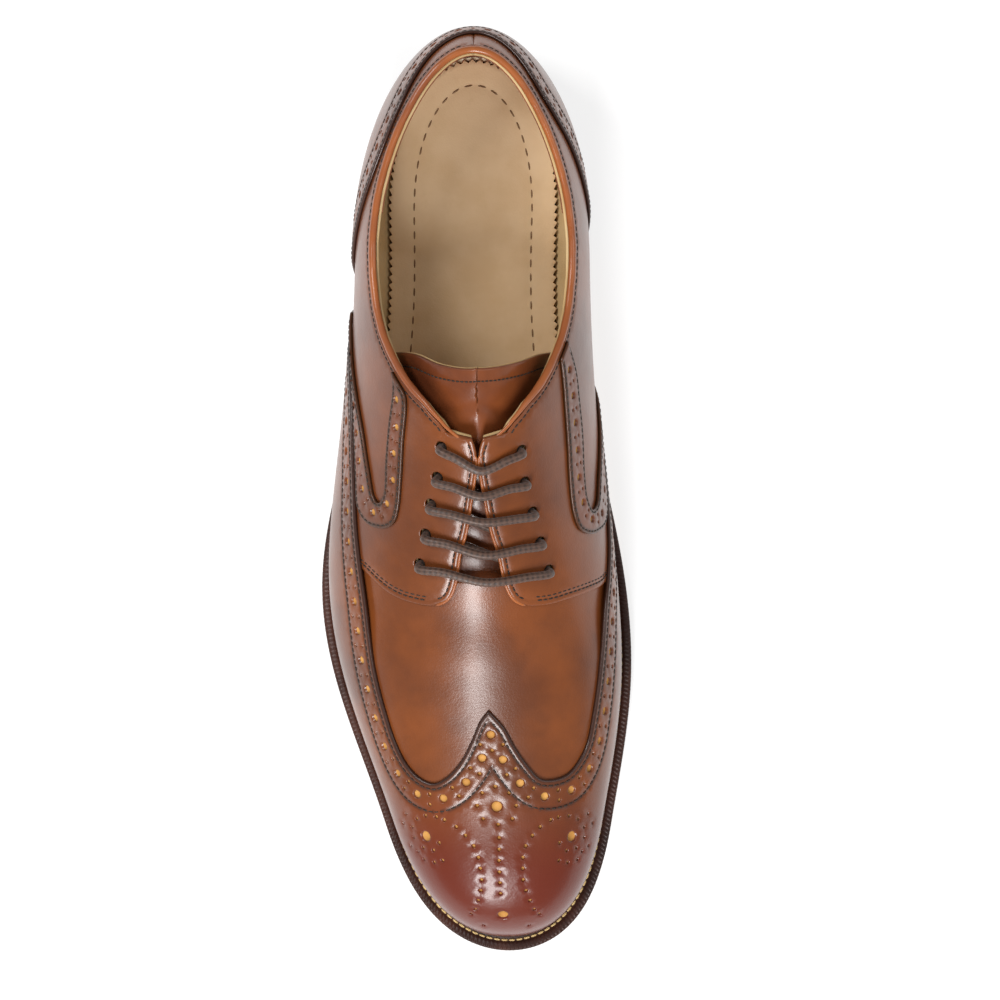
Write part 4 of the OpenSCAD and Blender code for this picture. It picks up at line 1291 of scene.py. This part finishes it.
# ------------------------------------------------------------------ tongue
def tongue_lift(uw):
    """Extra depth of the tongue: shallow at its seam, with a crease near its top."""
    v = v_of(uw[:, 0], uw[:, 1])
    y = y_of(uw[:, 0], v)
    seam = (LINING - TONGUE) * (1 - smoothstep(y, -40, -30))
    crest = y - 21 - 2.5 * np.cos(v * 9)
    crease = 0.9 * np.exp(-(crest / 2.6) ** 2) - 0.5 * np.exp(-((crest + 5) / 3.5) ** 2)
    return seam + crease


def make_tongue():
    """The tongue and its lining, with one seam below the tongue's top edge."""
    top = smooth_line(TONGUE_TOP, 1.3)
    edge = [(43, 0.55), (25, 0.53), (0, 0.46), (-30, 0.4), (-40, 0.36)]
    right = smooth_line(edge, 1.8)
    base = smooth_line([(-40, 0.36), (-40, 0), (-40, -0.36)], 2.0)
    left = smooth_line(signed(edge[::-1], -1), 1.8)
    outline = join_paths([top, right, base, left])
    seams = [inset_line(top, 4.4, outline)]
    piece = leather("tongue_leather", "tongue", outline, TONGUE, TONGUE_T, seams=seams,
                    spacing=1.7, lift=tongue_lift)
    finish_piece(piece, "tongue", "tongue_leather", "tongue")
    lining = leather("tongue_lining_leather", "lining", outline, TONGUE + TONGUE_T + 0.02, 0.7,
                     spacing=3.0, lift=tongue_lift)
    finish_piece(lining, "tongue", "lining_leather", "tongue_lining")
    sew("tongue_stitching", seams, TONGUE, body="tongue", lift=tongue_lift, slot="tongue_leather")


# -------------------------------------------------------------------- lace
LACE_D = 2.8
# From the tip of one tail to the tip of the other, as in the CAD apart from the middle of
# each bar; rows count from the toe
LACE_ROUTE = [
    # first tail: forward end on the sock, back and up to the top medial eyelet
    [33.5, -79, 16.2], [34, -66, 15.9], [34, -52, 15.9], [33.5, -38, 16.2], [32.5, -24, 17.2],
    [32, -11, 18.8], [32.5, -2, 22.5], [34, 4, 29], [34.5, 7, 38], [33.5, 8, 48.5],
    [30, 9, 59], [25, 10.5, 68.5], [19, 12, 77],
    # row 5
    [12.5, 14.5, 83], [14, 13, 86], [15, 12, 88.5], [10.5, 10, 90.5], [2, 6.6, 91.0],
    [-6, 10.5, 92], [-11, 13, 91], [-10.5, 14, 88.5], [-9, 15, 85.5],
    # down the lateral side to row 1
    [-14.5, 9.5, 79.5], [-18, -5.5, 70.5], [-20.5, -18.5, 63.5],
    [-16, -22, 64], [-17.5, -23, 67.5], [-18, -24.5, 70], [-10.5, -25.5, 72.5], [3.5, -28.7, 72.9],
    [17, -27, 70.5], [24, -26, 66.5], [23, -25, 64], [21, -24, 61.5],
    # row 2
    [9.5, -21.5, 68.5], [-2, -17.5, 71], [-14, -12, 69.5], [-15.5, -13.5, 72.5],
    [-16, -15, 75], [-9, -16.5, 77], [3, -20, 77], [15, -18, 75], [21.5, -17, 72],
    [20.5, -16, 69.5], [18, -15, 66.5],
    # row 3
    [8, -12.5, 73], [-2, -8.5, 76], [-12, -2.5, 75], [-13.5, -4, 78], [-14.5, -5.5, 80.5],
    [-8, -7, 82.5], [2.5, -9.5, 82.5], [13, -8.5, 80.5], [19, -7.5, 77.5], [18, -6.5, 75],
    [16, -5.5, 72],
    # row 4
    [7, -3.5, 78], [-1.5, 0.5, 81], [-10, 6, 80], [-11.5, 4.5, 83], [-12.5, 3, 85.5],
    [-7, 1.5, 87], [2, -1.4, 87], [11, 1, 85.5], [16.5, 2, 83.5], [15.5, 3, 81],
    [13.5, 4.5, 78],
    # second tail: down beside the tongue and forward on the sock
    [20, 1.5, 72], [26, 0, 64], [31, -1.5, 55], [33.5, -3, 45.5], [33.5, -5, 35],
    [31, -10, 25.5], [28.5, -19, 18.5], [28, -32, 16.5], [28.5, -46, 16], [28.5, -60, 15.9],
    [28.5, -74, 16.1], [28.5, -80, 16.3]]
LACE_TIP_ENDS = [[31.5, -98.5, 18], [27, -99.5, 18]]


def make_lace():
    """The round lace: six strands that cross as in a braid, over a core."""
    sides, step, lay_length = 24, 0.42, 5.2
    fine = curve_through(LACE_ROUTE, per=14)
    s = path_lengths(fine)
    t = np.linspace(0, s[-1], int(s[-1] / step))
    path = at_lengths(fine, s, t)
    around = np.arange(sides)[None, :] * 2 * math.pi / sides
    turn = t[:, None] * 2 * math.pi / lay_length
    over = np.cos(3 * around + turn * 1.5) * np.cos(3 * around - turn * 1.5)
    strand = 0.5 + 0.5 * over
    radius = LACE_D / 2 * (0.93 + 0.09 * strand)
    # the two ends taper into the tips
    ends = np.minimum(t, t[-1] - t)[:, None]
    radius = radius * (0.8 + 0.2 * ramp(ends, 0, 2.0))
    # the braid's relief also goes to the lace's colour, as painted shade in its grooves
    value = np.concatenate([strand.ravel(), [0.5, 0.5]])
    lace = tube("lace_cord", path, np.stack([radius, radius], -1), "lace", {"strand": value})
    tips = [make_tip("lace_tip_a", path[0], LACE_TIP_ENDS[0]),
            make_tip("lace_tip_b", path[-1], LACE_TIP_ENDS[1])]
    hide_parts("lace_tips")
    finish_piece(lace, "shoe", "lace_cord", "lace")


def make_tip(name, start, end):
    """A hard wound tip, rounded at its free end."""
    # share of the way from start to end, and the radius there
    shape = np.array([(0, 1.2), (0.01, 1.42), (0.03, 1.48), (0.08, 1.45), (0.3, 1.4), (0.6, 1.38),
                      (0.85, 1.36), (0.95, 1.2), (0.985, 0.85), (1.0, 0.2)])
    a, b = np.asarray(start, float), np.asarray(end, float)
    path = a + shape[:, :1] * (b - a)
    tip = tube(name, path, shape[:, 1][:, None, None] * np.ones((1, 16, 2)), "tip")
    return finish_piece(tip, "shoe", "lace_tip")


# ------------------------------------------------------------ sole and heel
FEATHER_HALF_WIDTH = [a - b for a, b in zip(HALF_WIDTH, TUCK_UNDER)]
INSIDE_BACK_Y = 146.5
SOCK_WIDER = [0, 0, 0.2, 0.3, 0.4, 1.2, 2.8, 3.4, 2.8, 2.6, 2.6]
# Plan outlines: half widths, tip and back, and where the toe's curve starts
PLANS = {
    "sole": (SOLE_HALF_WIDTH, SOLE_TOE_Y, SOLE_HEEL_Y, -110),
    "feather": (FEATHER_HALF_WIDTH, TOE_TIP_Y, INSIDE_BACK_Y, TOE_START_Y),
    "sock": ([a + b for a, b in zip(FEATHER_HALF_WIDTH, SOCK_WIDER)], TOE_TIP_Y, INSIDE_BACK_Y,
             TOE_START_Y),
}


def plan_loop(turns, inset, plan="sole"):
    """A closed plan outline, by turns from 0 at the toe over 1 at the heel back to 2."""
    widths, tip, back, start = PLANS[plan]
    tip, back = tip + inset, back - inset
    y = tip + (back - tip) * (1 - np.cos(math.pi * turns)) / 2
    half = ((along(widths, y) - inset) * closing(y, start, tip, TOE_POWER, 2)
            * np.sqrt(1 - ramp(y, FEATHER_CURVE_Y, back) ** HEEL_POWER))
    return np.stack([along(CENTRE_X, y) + np.where(turns <= 1, 1, -1) * half, y], -1)


def even_turns(step, inset=0.0, plan="sole"):
    """Values of turns that are evenly spaced along each side of a plan outline."""
    sides = []
    for start in (0.0, 1.0):
        fine = np.linspace(start, start + 1.0, 2001)
        sides.append((fine, path_lengths(plan_loop(fine, inset, plan))))
    count = int(max(s[-1] for _, s in sides) / step)
    steps = np.arange(count)
    return np.concatenate([np.interp(steps * s[-1] / count, s, fine) for fine, s in sides])


def over_feather(xy, z):
    """Points over the plan at a height over the feather line, in the part's frame."""
    return np.concatenate([xy, (along(FEATHER_Z, xy[:, 1]) + z)[:, None]], 1) + FRAME_SHIFT


def rings_mesh(name, rings, look_names, caps=True, looks=None):
    """Walls between rings of points, closed by flat caps of strips between the ring's two sides."""
    n = len(rings[0])
    faces = []
    for a in range(0, (len(rings) - 1) * n, n):
        faces += [(a + i, a + j, a + n + j, a + n + i) for i, j in loop_edges(0, n)]
    for start, flip in ((0, True), ((len(rings) - 1) * n, False)) if caps else ():
        for i in range(n // 2):
            a, b = start + i, start + i + 1
            c, d = start + (n - i - 1) % n, start + (n - i) % n
            face = (a, b, c) if i == 0 else (a, b, c, d)
            if b == c:
                face = (a, b, d)
            faces.append(face[::-1] if flip else face)
    materials = [LOOK[look] for look in look_names]
    return new_mesh(name, np.concatenate(rings), faces, materials, looks)


RIB_PITCH = 1.45        # the welt's ribs, and the points to each
RIB_STEPS = 5


def make_welt():
    """The welt, ribbed along its outer edge, with its row of stitches."""
    turns = even_turns(RIB_PITCH / RIB_STEPS)
    wave = 0.5 + 0.5 * np.cos(np.arange(len(turns)) * 2 * math.pi / RIB_STEPS)
    # inset, height over the feather line and how much of the ribs' depth is there
    profile = [(1.0, -3.9, 0), (0.25, -3.86, 0), (0.0, -3.5, 0), (0.0, -1.6, 0.1), (0.1, -1.1, 0.5),
               (0.4, -0.72, 0.9), (1.0, -0.52, 1.0), (1.9, -0.5, 1.0), (2.45, -0.62, 0.8),
               (2.75, -0.85, 0.1), (3.1, -0.98, 0), (3.9, -0.98, 0), (4.2, -0.75, 0)]
    rings = []
    for inset, z, depth in profile:
        dip = depth * (1 - wave)
        xy = plan_loop(turns, inset)
        centre = plan_loop(turns, inset + 0.5)
        xy = xy + (centre - xy) * (0.34 * dip)[:, None] * 2
        rings.append(over_feather(xy, z - 0.3 * dip))
    inner = plan_loop(turns, 4.05, "feather")
    rings += [over_feather(inner, z) for z in (-0.6, -3.9)]
    piece = rings_mesh("welt_leather", rings + rings[:1], ["welt"], caps=False)
    finish_piece(piece, "shoe", "welt_leather", "welt")
    flat_stitches("welt_stitching", even_turns(2.5, 3.5), 3.5, "sole", -0.86, (0.06, 0.94), 0.42,
                  "pale_thread")


def make_outsole():
    """The leather outsole, with its closed stitch groove below and a bevelled edge."""
    turns = even_turns(2.2)
    # inset, and height over the feather line
    profile = [(5.6, -9.0), (5.1, -9.0), (4.95, -8.7), (4.7, -8.7), (4.55, -9.0), (1.6, -9.0),
               (0.7, -8.9), (0.2, -8.6), (0.0, -8.1), (0.0, -6.75), (0.18, -6.6), (0.18, -6.45),
               (0.0, -6.3), (0.0, -4.6), (0.12, -4.2), (0.5, -4.02), (4.5, -4.0)]
    rings = [over_feather(plan_loop(turns, inset), z) for inset, z in profile]
    # the underside, inwards of the bevel, has the second look
    under = [int(min(low, next_low) < -8.65 and min(inset, next_inset) > 0.6)
             for (inset, low), (next_inset, next_low) in zip(profile, profile[1:])]
    caps = np.repeat([1, 0], len(turns) // 2)
    looks = np.concatenate([np.repeat(under, len(turns)), caps])
    piece = rings_mesh("outsole_leather", rings, ["sole_edge", "sole"], looks=looks)
    finish_piece(piece, "shoe", "sole_leather", "outsole")


BREAST_Y = 78.0         # the heel's front face, hollowed by a circle
BREAST_RADIUS = 140.0
BREAST_CENTRE = np.array([-1.5, BREAST_Y - BREAST_RADIUS])


def heel_loop(inset):
    """The heel's plan: the back of the sole's plan behind a hollow front face."""
    loop = plan_loop(np.linspace(0.4, 1.6, 4001), 0.8 + inset)
    behind = np.linalg.norm(loop - BREAST_CENTRE, axis=1) > BREAST_RADIUS + inset
    back = loop[behind & (loop[:, 1] > BREAST_Y - 6.0)]
    angles = [math.atan2(*(p - BREAST_CENTRE)[::-1]) for p in (back[-1], back[0])]
    t = np.linspace(*angles, 200)
    face = BREAST_CENTRE + (BREAST_RADIUS + inset) * np.stack([np.cos(t), np.sin(t)], -1)
    middle = np.argmax(face[:, 1])
    turn = len(back) // 2
    halves = [np.concatenate([face[middle:], back[:turn]]),
              np.concatenate([back[turn - 1:], face[:middle + 1]])]
    points = []
    for half in halves:
        s = path_lengths(half)
        points.append(at_lengths(half, s, np.arange(120) * s[-1] / 120))
    return np.concatenate(points)


def heel_block(name, low, high, look, r):
    """A slab of the heel with edges rounded by r; high None ends it under the outsole."""
    rings = []
    for height, turn in ((low, 1), (high, -1)):
        for inset, dz in ((r * 1.6, 0.0), (r * 0.5, r * 0.25), (0.0, r))[::turn]:
            xy = heel_loop(inset)
            if height is None:
                z = along(FEATHER_Z, xy[:, 1]) - 9.15 + turn * dz
            else:
                z = np.full(len(xy), height + turn * dz)
            rings.append(np.concatenate([xy, z[:, None]], 1) + FRAME_SHIFT)
    return rings_mesh(name, rings, [look])


def make_heel():
    """The rubber top lift and the three blocks of stacked leather over it."""
    lift = heel_block("top_lift_rubber", 0.0, 6.0, "rubber", 0.5)
    finish_piece(lift, "shoe", "rubber_heel", "top_lift")
    for word, low, high in (("lower", 6.15, 11.0), ("middle", 11.15, 16.0), ("upper", 16.15, None)):
        layer = heel_block("heel_lift_" + word, low, high, "heel", 0.25)
        finish_piece(layer, "shoe", "heel_leather", "heel_lifts")


def make_sock():
    """The leather sock: pinked round its edge and sewn down in a dashed line."""
    tooth, per_tooth = 2.6, 4
    turns = even_turns(tooth / per_tooth, 6.3, "sock")
    teeth = 0.55 * np.abs((np.arange(len(turns)) % per_tooth) - per_tooth / 2)
    # inset, height over the feather line and whether the teeth show there
    profile = [(6.4, 4.3, 1), (6.4, 5.0, 1), (6.55, 5.1, 1), (8.6, 5.12, 0), (11.5, 5.2, 0),
               (13.9, 5.16, 0), (14.8, 5.0, 0), (15.7, 5.16, 0), (18.0, 5.25, 0), (21.0, 5.28, 0)]
    rings = []
    for inset, z, pinked in profile:
        outer, inner = plan_loop(turns, inset, "sock"), plan_loop(turns, inset + 1.0, "sock")
        rings.append(over_feather(outer + (inner - outer) * (teeth * pinked)[:, None], z))
    piece = rings_mesh("sock_lining_leather", rings, ["sock"])
    finish_piece(piece, "shoe", "sock_leather", "sock_lining")
    flat_stitches("sock_stitching", even_turns(4.6, 14.8, "sock"), 14.8, "sock", 5.08, (0.1, 0.72),
                  0.3, "sock_thread")


def dress_hidden_parts():
    """Materials for the CAD nodes that are carried over as they are."""
    looks = {"heel_nails": "steel", "cork_filler": "cork", "steel_shank": "steel",
             "insole_board": "insole", "footbed_foam": "foam", "toe_puff": "stiffener",
             "heel_stiffener": "stiffener", "vamp_lining": "lining"}
    for node, look in looks.items():
        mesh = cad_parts[node].data
        mesh.materials.clear()
        mesh.materials.append(LOOK[look])


# ---------------------------------------------------------------- the scene
make_camera()
make_studio()
make_lace()
make_vamp()
make_wing()
for side, word in ((-1, "lateral"), (1, "medial")):
    make_quarter(side, "quarter_" + word)
    make_band(side, "facing_band_" + word)
    make_quarter_lining(side, "quarter_lining_" + word)
make_foxing()
make_bead()
make_heel_grip()
make_tongue()
make_sock()
make_welt()
make_outsole()
make_heel()
dress_hidden_parts()
bpy.context.scene.view_settings.view_transform = "Standard"
